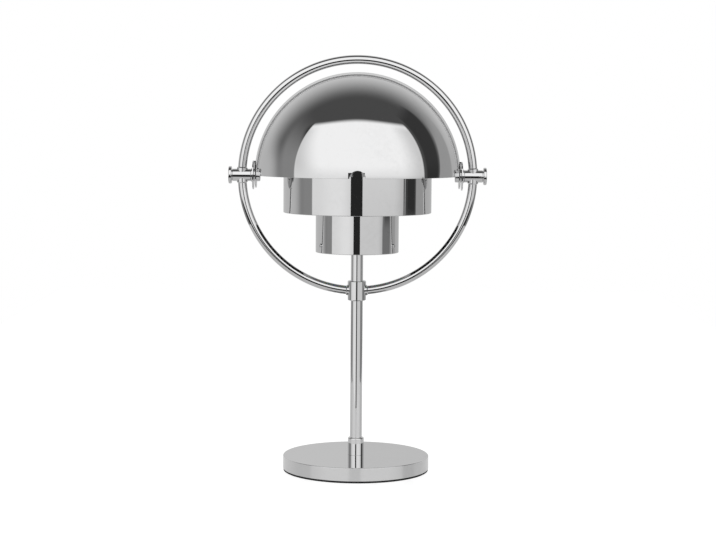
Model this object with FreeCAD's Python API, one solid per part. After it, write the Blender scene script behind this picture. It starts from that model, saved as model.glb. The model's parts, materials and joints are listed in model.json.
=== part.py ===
import FreeCAD, Part
import math
import os

# Portable table lamp: a round weighted base, a stem, a tube ring that the stem's collar carries,
# and two quarter-sphere shades that swing in the ring round two concentric light drums.
# Lengths are millimetres. +Z is up, X runs along the shades' pivots, and the front is at -Y.
# The origin is the middle of the foot, on the table.

# Main heights and radii
pivot_height = 256.6
shade_radius = 88.8
ring_gap = 7.0
ring_tube_radius = 3.8
ring_tube_wall = 1.0
base_radius = 63.5
base_top = 13.1
stem_radius = 5.25
stem_wall = 1.0

# Fits and gaps
fit_gap = 0.05
running_gap = 0.06
side_gap = 0.1
loose_gap = 0.3
overrun = 5.0

# Base shell
shell_low = 1.8
shell_wall = 2.0
shell_roof = 1.6
shell_bevel = 0.6
shell_post_radius = 3.6
shell_post_inset = 14.5
shell_post_count = 4
post_thread_radius = 1.45
post_thread_depth = 5.6

# Base cover and foot
cover_thickness = 1.2
foot_width = 9.0
foot_inset = 0.3
foot_round = 0.5
cover_screw_head_radius = 2.5
cover_screw_socket_radius = 0.9
cover_screw_socket_depth = 0.8
standoff_radius = 2.2
standoff_height = 0.6

# Ballast plate
ballast_thickness = 4.4
ballast_web = 1.0
ballast_well_radius = 13.0
ballast_rim_gap = 0.8

# Battery
battery_height = 5.4
battery_corner = 2.4
battery_post_gap = 4.6
battery_well_gap = 5.5
battery_corner_gap = 3.4
battery_pad_height = 0.5
battery_pad_margin = 4.0

# Control board
board_length = 34.0
board_thickness = 1.2
board_well_gap = 10.0
board_corner_gap = 3.1
board_screw_inset = 3.0
board_screw_radius = 0.95
board_screw_head_radius = 1.8
board_screw_head_height = 1.0

# Charging socket
port_width = 9.0
port_height = 3.2
port_depth = 7.3
port_wall = 0.3
port_back_wall = 1.2
port_tongue_width = 6.6
port_tongue_height = 0.7
port_tongue_short = 1.0
port_side = 9.0
port_recess = 0.35

# Power button and its switch
button_room = 1.05
button_flange_width = 0.7
button_flange_height = 1.2
button_plunger_radius = 1.25
button_plunger_length = 1.6
button_proud = 0.5
button_edge_round = 0.4
button_side = 9.0
button_travel = 0.6
switch_width = 6.0
switch_height = 3.5
switch_depth = 4.0
switch_nub_radius = 1.0
switch_nub_length = 1.0
switch_nub_gap = 0.2

# Stem ends
stem_nut_height = 2.6
stem_nut_flats = 14.0
stem_washer_radius = 10.0
stem_washer_height = 0.6
stem_end_proud = 0.15
ferrule_radius = 7.0
ferrule_height = 15.3
ferrule_round = 1.2

# Ring collar
collar_radius = 7.95
collar_length = 17.0
collar_bevel = 0.5
boss_width = 0.8
boss_reach = 1.5
boss_taper = 0.75
collar_screw_radius = 1.5

# Pivots, from the ring inwards
pin_radius = 2.5
sleeve_radius = 5.3
sleeve_outer_half = 8.3
sleeve_bevel = 0.4
cap_radius = 7.5
cap_height = 3.3
cap_neck_radius = 5.0
cap_neck_height = 0.6
cap_dish_depth = 0.7
cap_rim = 1.1
cap_round = 0.8
flange_washer_radius = 5.9
flange_washer_height = 1.2
ear_thickness = 1.0
spacer_radius = 5.4
spacer_height = 1.1
nut_radius = 5.4
nut_height = 3.1
nut_floor = 1.0
nut_bevel = 0.5

# Shades
shade_wall = 1.0
pole_flat_radius = 10.3
front_ear_radius = 11.0
back_ear_gap = 0.35
shade_seam_gap = 0.4
notch_gap = 1.45

# Drums, whose rims keep clear of the shades' sweep
outer_drum_side_gap = 23.9
outer_drum_rim_gap = 16.4
inner_drum_radius = 35.9
inner_drum_rim_gap = 12.5
drum_wall = 1.0
drum_flange_width = 6.0
drum_lip_round = 0.45

# Deck between the drums
deck_rise = 3.0
deck_thickness = 1.5
deck_proud = 0.7
spoke_count = 3
spoke_width = 12.0
spoke_first_angle = 90.0
tab_height = 10.0
deck_screw_radius = 1.5
screw_head_radius = 2.6
screw_head_height = 1.6
drum_screw_first_angle = 30.0
drum_nut_flats = 5.5
drum_nut_height = 2.4
screw_tip = 0.8

# Light hub
hub_boss_radius = 9.5
hub_flange_gap = 6.9
hub_flange_thickness = 3.0
hub_height = 12.0
hub_nut_flats = 14.0
hub_nut_height = 4.0
stem_top_proud = 1.0
hub_screw_radius = 2.0

# Upper light plate
plate_gap = 1.9
plate_wall = 2.0
plate_roof = 3.0
plate_height = 11.5
plate_post_radius = 3.0
plate_post_inset = 7.0
plate_screw_radius = 1.25
plate_screw_depth = 6.0
plate_lead_hole = 3.0

# Light boards and chips
led_board_thickness = 1.2
led_board_margin = 1.0
chip_count = 8
chip_size = 3.0
chip_height = 0.6
chip_inset = 10.0
terminal_length = 6.0
terminal_width = 4.0
terminal_height = 3.0

# Diffusers
diffuser_inset = 1.5
diffuser_ring_height = 8.0
diffuser_ring_wall = 2.5
diffuser_ledge = 2.0
diffuser_ledge_thickness = 1.5
diffuser_thickness = 2.0
diffuser_screw_inset = 6.5
diffuser_screw_radius = 1.2
diffuser_screw_head_radius = 1.8
diffuser_screw_head_height = 1.0
diffuser_screw_count = 3
diffuser_screw_angles = {-1: 90.0, 1: 30.0}
diffuser_stem_gap = 0.5

# Leads
lamp_lead_radius = 1.0
lamp_lead_bend = 3.8
board_lead_radius = 0.8
board_lead_inset = 4.0
board_lead_angle = 0.0
battery_lead_radius = 0.9
battery_lead_side = 7.5
battery_lead_shift = 2.0

# Radii and levels worked out from the sizes above
ring_radius = shade_radius + ring_gap + ring_tube_radius
boss_radius = ring_tube_radius + boss_width
notch_radius = stem_radius + notch_gap
shade_bore = shade_radius - shade_wall
outer_drum_radius = shade_bore - outer_drum_side_gap
outer_drum_half_height = math.sqrt((shade_bore - outer_drum_rim_gap) ** 2 - outer_drum_radius ** 2)
inner_drum_half_height = math.sqrt((shade_bore - inner_drum_rim_gap) ** 2 - inner_drum_radius ** 2)
cover_top = shell_low + cover_thickness
shell_roof_low = base_top - shell_roof
shell_inner_radius = base_radius - shell_wall
cover_radius = shell_inner_radius - loose_gap
shell_post_circle = shell_inner_radius - shell_post_inset
ballast_radius = shell_inner_radius - ballast_rim_gap
ballast_low = shell_roof_low - ballast_thickness
web_low = shell_roof_low - ballast_web
washer_low = web_low - stem_washer_height
stem_nut_low = washer_low - stem_nut_height
stem_low = stem_nut_low - stem_end_proud
board_low = cover_top + standoff_height
board_top = board_low + board_thickness
port_level = board_top + port_height / 2
lead_level = (cover_top + stem_low) / 2
button_level = (cover_top + shell_roof_low) / 2
button_flange_radius = (shell_roof_low - cover_top) / 2 - button_room
button_radius = button_flange_radius - button_flange_width
deck_low = pivot_height + deck_rise
deck_top = deck_low + deck_thickness
hub_low = deck_low - hub_height
stem_top = deck_top + hub_nut_height + stem_top_proud
plate_top = deck_top + plate_height
stem_hole_radius = stem_radius + fit_gap
pin_hole_radius = pin_radius + fit_gap
ear_hole_radius = pin_radius + running_gap
inner_drum_bore = inner_drum_radius - drum_wall
outer_drum_bore = outer_drum_radius - drum_wall
board_front = ballast_well_radius + board_well_gap
board_back = math.sqrt((ballast_radius - board_corner_gap) ** 2 - (board_length / 2) ** 2)
battery_half = shell_post_circle * math.sqrt(0.5) - shell_post_radius - battery_post_gap
battery_near = ballast_well_radius + battery_well_gap
battery_far = math.sqrt((ballast_radius - battery_corner_gap) ** 2 - battery_half ** 2)
plate_radius = inner_drum_bore - drum_flange_width - plate_gap
plate_post_circle = plate_radius - plate_post_inset
hub_flange_radius = inner_drum_bore - hub_flange_gap
chip_circle = plate_radius - chip_inset
board_lead_circle = plate_radius - board_lead_inset
button_back_seat = math.sqrt(shell_inner_radius ** 2 - (button_side + button_flange_radius) ** 2)
port_front = math.sqrt(base_radius ** 2 - (port_side + port_width / 2) ** 2) - port_recess
port_back = port_front - port_depth

# Places along a pivot, from the front shade's flattened pole outwards to the sleeve's end
front_ear_out = math.sqrt(shade_radius ** 2 - pole_flat_radius ** 2)
front_ear_in = front_ear_out - ear_thickness
nut_out = front_ear_in - side_gap
nut_in = nut_out - nut_height
spacer_in = front_ear_out + side_gap
spacer_out = spacer_in + spacer_height
back_ear_in = spacer_out + side_gap
back_ear_out = back_ear_in + ear_thickness
flange_washer_in = back_ear_out + side_gap
flange_washer_out = flange_washer_in + flange_washer_height
sleeve_inner_end = flange_washer_out + side_gap
sleeve_outer_end = ring_radius + sleeve_outer_half

V = FreeCAD.Vector
ORIGIN = V(0, 0, 0)
UP = V(0, 0, 1)
RIGHT = V(1, 0, 0)
BACK = V(0, 1, 0)
PIVOT = V(0, 0, pivot_height)


def lathe(outline):
    """A solid turned about the Z axis from (radius, height) corners."""
    points = [V(radius, 0, height) for radius, height in outline]
    wire = Part.makePolygon(points + points[:1])
    return Part.Face(wire).revolve(ORIGIN, UP, 360)


def disc(radius, low, high, x=0, y=0):
    """An upright cylinder between two heights."""
    return Part.makeCylinder(radius, high - low, V(x, y, low))


def pipe(outer, bore, low, high, x=0, y=0):
    """An upright tube or washer between two heights."""
    hole = disc(bore, low - overrun, high + overrun, x, y)
    return disc(outer, low, high, x, y).cut(hole)


def block(low, high):
    """A box between two opposite corners."""
    size = [b - a for a, b in zip(low, high)]
    return Part.makeBox(size[0], size[1], size[2], V(*low))


def hexagon(flats, low, high, x=0, y=0):
    """A six-sided prism with a given width across its flats, two of them square to X."""
    corner = flats / math.sqrt(3)
    angles = [math.radians(60 * k + 30) for k in range(6)]
    points = [V(x + corner * math.cos(a), y + corner * math.sin(a), low) for a in angles]
    return Part.Face(Part.makePolygon(points + points[:1])).extrude(V(0, 0, high - low))


def turn(shape, degrees, axis=UP, about=ORIGIN):
    """A copy turned about an axis."""
    copy = shape.copy()
    copy.rotate(about, axis, degrees)
    return copy


def lift(shape, offset):
    """A copy moved by an offset."""
    copy = shape.copy()
    copy.translate(offset)
    return copy


def around(shape, count, first=0.0):
    """Copies of a shape, evenly spaced about the Z axis."""
    return [turn(shape, first + 360 * k / count) for k in range(count)]


def cut_all(shape, tools):
    """The shape with every tool taken away."""
    for tool in tools:
        shape = shape.cut(tool)
    return shape


def join(shapes):
    """One solid from shapes that share volume or a face."""
    whole = shapes[0]
    for shape in shapes[1:]:
        whole = whole.fuse(shape)
    return whole.removeSplitter()


def rounded(shape, radius, chosen):
    """A fillet on the edges that the test picks."""
    edges = [edge for edge in shape.Edges if chosen(edge)]
    return shape.makeFillet(radius, edges)


def bevelled(shape, size, chosen):
    """A chamfer on the edges that the test picks."""
    edges = [edge for edge in shape.Edges if chosen(edge)]
    return shape.makeChamfer(size, edges)


def is_circle(edge, radius, level=None):
    """Whether an edge is a whole circle of that radius, at that height if one is given."""
    if not isinstance(edge.Curve, Part.Circle) or abs(edge.Curve.Radius - radius) > fit_gap:
        return False
    return level is None or abs(edge.Curve.Center.z - level) < fit_gap


def pan_screw(radius, length, head_radius, head_height):
    """A screw that points down: its head sits on z = 0 and its shank hangs below."""
    head = disc(head_radius, 0, head_height)
    head = rounded(head, head_height / 2, lambda e: is_circle(e, head_radius, head_height))
    return join([head, disc(radius, -length, 0)])


# Base

def port_outline(grow):
    """The charging port's rounded outline, grown all round, as a bar along Y about its middle."""
    radius = port_height / 2 + grow
    half = (port_width - port_height) / 2
    bar = block((-half, 0, -radius), (half, port_depth, radius))
    ends = [Part.makeCylinder(radius, port_depth, V(x, 0, 0), BACK) for x in (-half, half)]
    return join([bar] + ends)


def around_posts(shape):
    """Copies of a shape made on the +X side, one at each of the shell's posts."""
    return around(shape, shell_post_count, 360 / shell_post_count / 2)


def make_base_shell():
    """The polished cup: roof, rim, four posts for the cover's screws, and the holes in it."""
    shell = lathe([
        (0, base_top),
        (base_radius - shell_bevel, base_top),
        (base_radius, base_top - shell_bevel),
        (base_radius, shell_low),
        (shell_inner_radius, shell_low),
        (shell_inner_radius, shell_roof_low),
        (0, shell_roof_low),
    ])
    post = disc(shell_post_radius, cover_top, base_top - shell_roof / 2, shell_post_circle)
    thread_top = cover_top + post_thread_depth
    thread = disc(post_thread_radius, cover_top - overrun, thread_top, shell_post_circle)
    shell = join([shell] + around_posts(post))
    shell = cut_all(shell, around_posts(thread))
    stem_hole = disc(stem_hole_radius, shell_roof_low - overrun, base_top + overrun)
    slot_back = shell_inner_radius - port_depth / 2
    port_slot = lift(port_outline(loose_gap), V(-port_side, slot_back, port_level))
    button_hole = Part.makeCylinder(
        button_radius + running_gap, 2 * shell_wall + overrun,
        V(button_side, button_back_seat - shell_wall, button_level), BACK)
    return cut_all(shell, [stem_hole, port_slot, button_hole])


def cover_screw_cone():
    """The countersunk head, its wide face down on the cover's underside."""
    depth = cover_screw_head_radius - post_thread_radius
    foot = V(shell_post_circle, 0, shell_low)
    return Part.makeCone(cover_screw_head_radius, post_thread_radius, depth, foot)


def make_base_cover():
    """The plate that closes the base, countersunk for its screws, with the board's standoffs."""
    cover = disc(cover_radius, shell_low, cover_top)
    hole = disc(post_thread_radius + fit_gap, shell_low - overrun, cover_top + overrun, shell_post_circle)
    cover = cut_all(cover, around_posts(hole) + around_posts(cover_screw_cone()))
    middle = shell_low + cover_thickness / 2
    places = board_screw_places()
    cover = join([cover] + [disc(standoff_radius, middle, board_low, x, y) for x, y in places])
    return cut_all(cover, [disc(board_screw_radius, middle, board_low + overrun, x, y) for x, y in places])


def make_cover_screws():
    """Four countersunk screws with a round socket, up into the shell's posts."""
    tip = cover_top + post_thread_depth - screw_tip
    shank = disc(post_thread_radius - fit_gap, shell_low, tip, shell_post_circle)
    socket_top = shell_low + cover_screw_socket_depth
    socket = disc(cover_screw_socket_radius, shell_low - overrun, socket_top, shell_post_circle)
    return Part.makeCompound(around_posts(join([cover_screw_cone(), shank]).cut(socket)))


def make_foot_ring():
    """The soft ring bonded under the shell's rim and the cover, which stands on the table."""
    outer = base_radius - foot_inset
    ring = pipe(outer, outer - foot_width, 0, shell_low)
    inner = outer - foot_width
    return rounded(ring, foot_round, lambda e: is_circle(e, outer, 0) or is_circle(e, inner, 0))


def battery_bay(grow):
    """The battery's footprint from the cover upwards, grown all round."""
    low = (-battery_half - grow, -battery_far - grow)
    high = (battery_half + grow, -battery_near + grow)
    return low, high


def make_ballast_plate():
    """The steel weight under the roof, with bays for battery and board and a well for the stem nut."""
    plate = disc(ballast_radius, ballast_low, shell_roof_low)
    below, above = ballast_low - overrun, shell_roof_low + overrun
    well = disc(ballast_well_radius, below, web_low)
    stem_hole = disc(stem_hole_radius, below, above)
    post_hole = disc(shell_post_radius + loose_gap, below, above, shell_post_circle)
    low, high = battery_bay(ballast_rim_gap)
    battery_hole = block((low[0], low[1], below), (high[0], high[1], above))
    half = board_length / 2 + ballast_rim_gap
    board_bay = block((-half, board_front - ballast_rim_gap, below), (half, base_radius, above))
    plate = cut_all(plate, [well, stem_hole, battery_hole, board_bay])
    return cut_all(plate, around_posts(post_hole))


def make_battery_pad():
    """The foam sheet between the battery and the cover."""
    low, high = battery_bay(-battery_pad_margin)
    return block((low[0], low[1], cover_top), (high[0], high[1], cover_top + battery_pad_height))


def make_battery_pack():
    """The flat rechargeable cell, with its long edges rounded."""
    low, high = battery_bay(0)
    floor = cover_top + battery_pad_height
    pack = block((low[0], low[1], floor), (high[0], high[1], floor + battery_height))
    return rounded(pack, battery_corner, lambda e: e.BoundBox.XLength > battery_half)


def board_screw_places():
    """The four corners where the control board is screwed down."""
    side = board_length / 2 - board_screw_inset
    near = board_front + board_screw_inset
    far = board_back - board_screw_inset
    return [(x, y) for x in (-side, side) for y in (near, far)]


def make_control_board():
    """The charging and dimming board, with its screw holes."""
    board = block((-board_length / 2, board_front, board_low), (board_length / 2, board_back, board_top))
    holes = [disc(board_screw_radius + fit_gap, board_low - overrun, board_top + overrun, x, y)
             for x, y in board_screw_places()]
    return cut_all(board, holes)


def make_board_screws():
    """Four small screws through the board into the cover's standoffs."""
    length = board_thickness + standoff_height
    screw = pan_screw(board_screw_radius - fit_gap, length, board_screw_head_radius, board_screw_head_height)
    return Part.makeCompound([lift(screw, V(x, y, board_top)) for x, y in board_screw_places()])


def make_charge_socket():
    """The charging socket: a rounded can with a contact tongue inside, open to the back."""
    can = port_outline(0)
    inside = lift(port_outline(-port_wall), V(0, port_back_wall, 0))
    tongue = block((-port_tongue_width / 2, port_back_wall / 2, -port_tongue_height / 2),
                   (port_tongue_width / 2, port_depth - port_tongue_short, port_tongue_height / 2))
    socket = join([can.cut(inside), tongue])
    return lift(socket, V(-port_side, port_back, port_level))


def make_power_button():
    """The button in the rim: cap, retaining flange and plunger, turned about its own Y axis."""
    reach = math.sqrt(base_radius ** 2 - button_side ** 2) + button_proud + button_travel
    flange_front = button_back_seat - side_gap
    flange_back = flange_front - button_flange_height
    cap = disc(button_radius, flange_back, reach)
    cap = rounded(cap, button_edge_round, lambda e: is_circle(e, button_radius, reach))
    flange = disc(button_flange_radius, flange_back, flange_front)
    plunger = disc(button_plunger_radius, flange_back - button_plunger_length, flange_back)
    button = turn(join([cap, flange, plunger]), -90, RIGHT)
    return lift(button, V(button_side, 0, button_level))


def make_button_switch():
    """The small switch on the board, its nub just clear of the pressed plunger."""
    pressed = button_back_seat - side_gap - button_flange_height - button_plunger_length - button_travel
    front = pressed - switch_nub_gap - switch_nub_length
    body = block((button_side - switch_width / 2, front - switch_depth, board_top),
                 (button_side + switch_width / 2, front, board_top + switch_height))
    nub = Part.makeCylinder(switch_nub_radius, switch_nub_length + switch_depth / 2,
                            V(button_side, front - switch_depth / 2, button_level), BACK)
    return join([body, nub])


# Stem

def make_stem_tube():
    """The stem, from under the base's roof to the nut above the deck."""
    return pipe(stem_radius, stem_radius - stem_wall, stem_low, stem_top)


def make_stem_ferrule():
    """The turned sleeve where the stem meets the base."""
    top = base_top + ferrule_height
    ferrule = disc(ferrule_radius, base_top, top)
    ferrule = rounded(ferrule, ferrule_round, lambda e: is_circle(e, ferrule_radius, top))
    return ferrule.cut(disc(stem_hole_radius, base_top - overrun, top + overrun))


def make_stem_washer():
    """The washer under the ballast plate's web."""
    return pipe(stem_washer_radius, stem_hole_radius, washer_low, web_low)


def make_stem_nut():
    """The thin nut that clamps base and ballast to the stem."""
    nut = hexagon(stem_nut_flats, stem_nut_low, washer_low)
    return nut.cut(disc(stem_hole_radius, stem_nut_low - overrun, washer_low + overrun))


# Ring

def ring_bar(radius, bore, start, sweep):
    """A stretch of bar or tube bent to the ring, from an angle above +X, about the pivots' middle."""
    circle = Part.Face(Part.Wire(Part.makeCircle(radius, V(ring_radius, 0, 0), UP)))
    if bore:
        circle = circle.cut(Part.Face(Part.Wire(Part.makeCircle(bore, V(ring_radius, 0, 0), UP))))
    bar = turn(circle, start, -BACK).revolve(ORIGIN, -BACK, sweep)
    return bar.Solids[0] if bar.Solids else bar


def half_angle(distance):
    """The angle at the ring's middle of a distance along the ring."""
    return math.degrees(distance / ring_radius)


def ring_boss(core_radius, middle):
    """The solid spigot that a collar or sleeve holds out on both sides to the ring's tube ends."""
    reach = half_angle(core_radius + boss_reach)
    boss = ring_bar(boss_radius, 0, middle - reach, 2 * reach)
    return bevelled(boss, boss_taper, lambda e: is_circle(e, boss_radius))


def make_ring_arc(first, first_core, last, last_core):
    """One tube of the ring between two bosses."""
    start = first + half_angle(first_core + boss_reach)
    end = last - half_angle(last_core + boss_reach)
    return lift(ring_bar(ring_tube_radius, ring_tube_radius - ring_tube_wall, start, end - start), PIVOT)


def make_ring_collar():
    """The collar that holds the ring on the stem, with a boss to each side and a hole for its screw."""
    middle = pivot_height - ring_radius
    low = middle - collar_length / 2
    high = middle + collar_length / 2
    body = disc(collar_radius, low, high)
    body = bevelled(body, collar_bevel, lambda e: is_circle(e, collar_radius))
    collar = join([body, lift(ring_boss(collar_radius, -90), PIVOT)])
    screw_hole = Part.makeCylinder(collar_screw_radius, collar_radius + overrun, V(0, 0, middle), BACK)
    return cut_all(collar, [disc(stem_hole_radius, low - overrun, high + overrun), screw_hole])


def grub_screw(radius, seat, mouth, level):
    """A headless screw with a socket, lying along +Y between two distances from the stem's axis."""
    body = Part.makeCylinder(radius, mouth - seat, V(0, seat, level), BACK)
    socket = Part.makeCylinder(radius / 2, (mouth - seat) / 2, V(0, (mouth + seat) / 2, level), BACK)
    return body.cut(socket)


def make_collar_screw():
    """The set screw at the back of the collar."""
    return grub_screw(collar_screw_radius - fit_gap, stem_radius + fit_gap, collar_radius - fit_gap,
                      pivot_height - ring_radius)


# Pivots, built on the right and turned half round for the left

def on_side(shape, side):
    """Pivot hardware turned to its side (right 1, left -1) and raised to the pivots' height."""
    placed = turn(shape, 90, BACK)
    return lift(placed if side > 0 else turn(placed, 180), PIVOT)


def make_pivot_sleeve(side):
    """The cross tube in the ring, with a boss above and below for the ring's ends."""
    tube = disc(sleeve_radius, sleeve_inner_end, sleeve_outer_end)
    tube = bevelled(tube, sleeve_bevel, lambda e: is_circle(e, sleeve_radius))
    boss = turn(ring_boss(sleeve_radius, 0), -90, BACK)
    sleeve = join([tube, boss])
    hole = disc(pin_hole_radius, sleeve_inner_end - overrun, sleeve_outer_end + overrun)
    return on_side(sleeve.cut(hole), side)


def make_pivot_pin(side):
    """The pin with its dished cap, through the sleeve and both shades' ears."""
    cap_low = sleeve_outer_end + fit_gap
    cap_top = cap_low + cap_height
    shaft_end = nut_in + nut_floor + side_gap
    dish_radius = cap_radius - cap_rim
    cap = lathe([
        (0, cap_low),
        (cap_neck_radius, cap_low),
        (cap_neck_radius, cap_low + cap_neck_height),
        (cap_radius, cap_low + cap_neck_height),
        (cap_radius, cap_top),
        (dish_radius, cap_top),
        (0, cap_top - cap_dish_depth),
    ])
    cap = rounded(cap, cap_round, lambda e: is_circle(e, cap_radius))
    return on_side(join([cap, disc(pin_radius, shaft_end, cap_low + cap_neck_height)]), side)


def make_flange_washer(side):
    """The washer between the sleeve and the back shade's ear."""
    washer = pipe(flange_washer_radius, pin_hole_radius, flange_washer_in, flange_washer_out)
    return on_side(washer, side)


def make_ear_spacer(side):
    """The spacer between the two shades' ears."""
    return on_side(pipe(spacer_radius, pin_hole_radius, spacer_in, spacer_out), side)


def make_pivot_nut(side):
    """The closed nut on the pin's inner end."""
    nut = disc(nut_radius, nut_in, nut_out)
    nut = bevelled(nut, nut_bevel, lambda e: is_circle(e, nut_radius, nut_in))
    return on_side(nut.cut(disc(pin_hole_radius, nut_in + nut_floor, nut_out + overrun)), side)


# Shades

def sphere_reach(radius, off_axis):
    """How far along the pivot a sphere reaches at a distance from the pivot's axis."""
    return math.sqrt(radius ** 2 - off_axis ** 2)


def arc_over(start, top, end):
    """The arc through three points of the XZ plane."""
    return Part.Arc(V(start[0], 0, start[1]), V(top[0], 0, top[1]), V(end[0], 0, end[1])).toShape()


def shade_quarter(ear_in, ear_out, inner_step, outer_step, sweep_axis):
    """A quarter of a sphere turned about the pivots, its poles stepped to flat ear faces.

    Along the wall's outer face the sphere runs to the outer step's radius and then along the
    pivot to the ear's face, and its inner face does the same at the inner step's radius.
    """
    outer, inner = shade_radius, shade_bore
    outer_x, inner_x = sphere_reach(outer, outer_step), sphere_reach(inner, inner_step)
    corners = [(outer_x, outer_step), (ear_out, outer_step), (ear_out, 0), (ear_in, 0),
               (ear_in, inner_step), (inner_x, inner_step)]
    corners = [c for k, c in enumerate(corners) if k == 0 or math.dist(c, corners[k - 1]) > fit_gap / 10]
    right = [V(x, 0, z) for x, z in corners]
    left = [V(-x, 0, z) for x, z in corners]
    edges = [Part.makeLine(a, b) for a, b in zip(right, right[1:])]
    edges += [Part.makeLine(a, b) for a, b in zip(left, left[1:])]
    edges.append(arc_over((-outer_x, outer_step), (0, outer), (outer_x, outer_step)))
    edges.append(arc_over((-inner_x, inner_step), (0, inner), (inner_x, inner_step)))
    wire = Part.Wire(Part.__sortEdges__(edges))
    return Part.Face(wire).revolve(ORIGIN, sweep_axis, 90)


def make_shade(front, ear_in, ear_out, ear_radius, inner_step, outer_step):
    """A shade: the quarter set back from both straight edges, round ears, pin holes and stem notch."""
    side = -1 if front else 1
    quarter = shade_quarter(ear_in, ear_out, inner_step, outer_step, RIGHT if front else -RIGHT)
    edge = shade_seam_gap / 2
    size = shade_radius + overrun
    room = block((-size, edge, edge), (size, size, size))
    if front:
        room = room.mirror(ORIGIN, BACK)
    quarter = quarter.common(room)
    ear = turn(disc(ear_radius, ear_in, ear_out), 90, BACK)
    hole = turn(disc(ear_hole_radius, -size, size), 90, BACK)
    notch = Part.makeCylinder(notch_radius, size, ORIGIN, BACK * side)
    shade = join([quarter, ear, turn(ear, 180)])
    return lift(cut_all(shade, [hole, notch]), PIVOT)


def make_front_shade():
    """The front shade, with its ears flush at the poles."""
    inner_step = sphere_reach(shade_bore, front_ear_in)
    return make_shade(True, front_ear_in, front_ear_out, front_ear_radius, inner_step, pole_flat_radius)


def make_back_shade():
    """The back shade, stepped outwards at the poles so that its ears lap over the front shade's."""
    inner_step = front_ear_radius + back_ear_gap
    outer_step = inner_step + shade_wall
    return make_shade(False, back_ear_in, back_ear_out, outer_step, inner_step, outer_step)


# Drums and deck

def deck_screw_level():
    """The height of the screws that hold the outer drum to the deck's tabs."""
    return deck_top + tab_height / 2


def make_outer_drum():
    """The wide open drum, with a hole for each of the deck's tabs."""
    low, high = pivot_height - outer_drum_half_height, pivot_height + outer_drum_half_height
    drum = pipe(outer_drum_radius, outer_drum_bore, low, high)
    drum = rounded(drum, drum_lip_round, lambda e: is_circle(e, outer_drum_radius))
    hole = Part.makeCylinder(deck_screw_radius + fit_gap, outer_drum_radius + overrun,
                             V(0, 0, deck_screw_level()), RIGHT)
    return cut_all(drum, around(hole, spoke_count, spoke_first_angle))


def drum_screw_circle():
    """Where the screws through the inner drums' flanges lie."""
    return inner_drum_bore - drum_flange_width / 2


def drum_screw_holes(low, high):
    """The holes of the screws through the inner drums' flanges and the deck."""
    hole = disc(deck_screw_radius + fit_gap, low, high, drum_screw_circle())
    return around(hole, spoke_count, drum_screw_first_angle)


def board_lead_hole(low, high):
    """The hole for the lead between the two light boards."""
    return turn(disc(board_lead_radius + loose_gap, low, high, board_lead_circle), board_lead_angle)


def make_drum_deck():
    """The plate across the lamp's middle: a disc, three spokes and their bent tabs."""
    disc_radius = inner_drum_radius + deck_proud
    plate = disc(disc_radius, deck_low, deck_top)
    end = outer_drum_bore - fit_gap
    spoke = block((0, -spoke_width / 2, deck_low), (end, spoke_width / 2, deck_top))
    tab_top = deck_top + tab_height
    tab = block((disc_radius, -spoke_width / 2, deck_low), (end, spoke_width / 2, tab_top))
    edge = pipe(end, end - deck_thickness, deck_low, tab_top)
    arms = join([spoke.common(disc(end, deck_low, deck_top)), tab.common(edge)])
    deck = join([plate] + around(arms, spoke_count, spoke_first_angle))
    tab_hole = Part.makeCylinder(deck_screw_radius + fit_gap, outer_drum_radius + overrun,
                                 V(hub_flange_radius, 0, deck_screw_level()), RIGHT)
    holes = around(tab_hole, spoke_count, spoke_first_angle)
    below, above = deck_low - overrun, deck_top + overrun
    holes += drum_screw_holes(below, above)
    holes += around(disc(plate_screw_radius + fit_gap, below, above, plate_post_circle),
                    spoke_count, drum_screw_first_angle)
    holes.append(board_lead_hole(below, above))
    holes.append(disc(stem_hole_radius, below, above))
    return cut_all(deck, holes)


def make_deck_screws():
    """The screws through the outer drum into the deck's tabs."""
    length = drum_wall + deck_thickness
    screw = pan_screw(deck_screw_radius, length, screw_head_radius, screw_head_height)
    screw = turn(screw, 90, BACK)
    screw = lift(screw, V(outer_drum_radius, 0, deck_screw_level()))
    return Part.makeCompound(around(screw, spoke_count, spoke_first_angle))


def diffuser_screw_level(side):
    """The height of the screws near a drum's open end: side 1 is the upper drum, -1 the lower."""
    return pivot_height + side * (inner_drum_half_height - diffuser_screw_inset)


def diffuser_screw_holes(side):
    """Holes along the lower or upper diffuser's screws."""
    hole = Part.makeCylinder(diffuser_screw_radius + fit_gap, inner_drum_radius + overrun,
                             V(0, 0, diffuser_screw_level(side)), RIGHT)
    return around(hole, diffuser_screw_count, diffuser_screw_angles[side])


def make_inner_drum(side):
    """A light drum: a tube from the deck to its open end, flanged inwards against the deck."""
    seat = deck_top if side > 0 else deck_low
    end = pivot_height + side * inner_drum_half_height
    flange_bore = inner_drum_bore - drum_flange_width
    tube = pipe(inner_drum_radius, inner_drum_bore, min(seat, end), max(seat, end))
    tube = rounded(tube, drum_lip_round, lambda e: is_circle(e, inner_drum_radius, end))
    face = seat + side * drum_wall
    flange = pipe(inner_drum_radius - drum_wall / 2, flange_bore, min(seat, face), max(seat, face))
    drum = join([tube, flange])
    holes = drum_screw_holes(min(seat, face) - overrun, max(seat, face) + overrun)
    return cut_all(drum, holes + diffuser_screw_holes(side))


def make_drum_screws():
    """The screws that clamp both inner drums to the deck."""
    length = 2 * drum_wall + deck_thickness + drum_nut_height + screw_tip
    screw = pan_screw(deck_screw_radius, length, screw_head_radius, screw_head_height)
    screw = lift(screw, V(drum_screw_circle(), 0, deck_top + drum_wall))
    return Part.makeCompound(around(screw, spoke_count, drum_screw_first_angle))


def make_drum_nuts():
    """The nuts under the lower drum's flange."""
    high = deck_low - drum_wall
    low = high - drum_nut_height
    nut = hexagon(drum_nut_flats, low, high, drum_screw_circle())
    nut = nut.cut(disc(deck_screw_radius + fit_gap, low - overrun, high + overrun, drum_screw_circle()))
    return Part.makeCompound(around(nut, spoke_count, drum_screw_first_angle))


# Light engine

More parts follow.
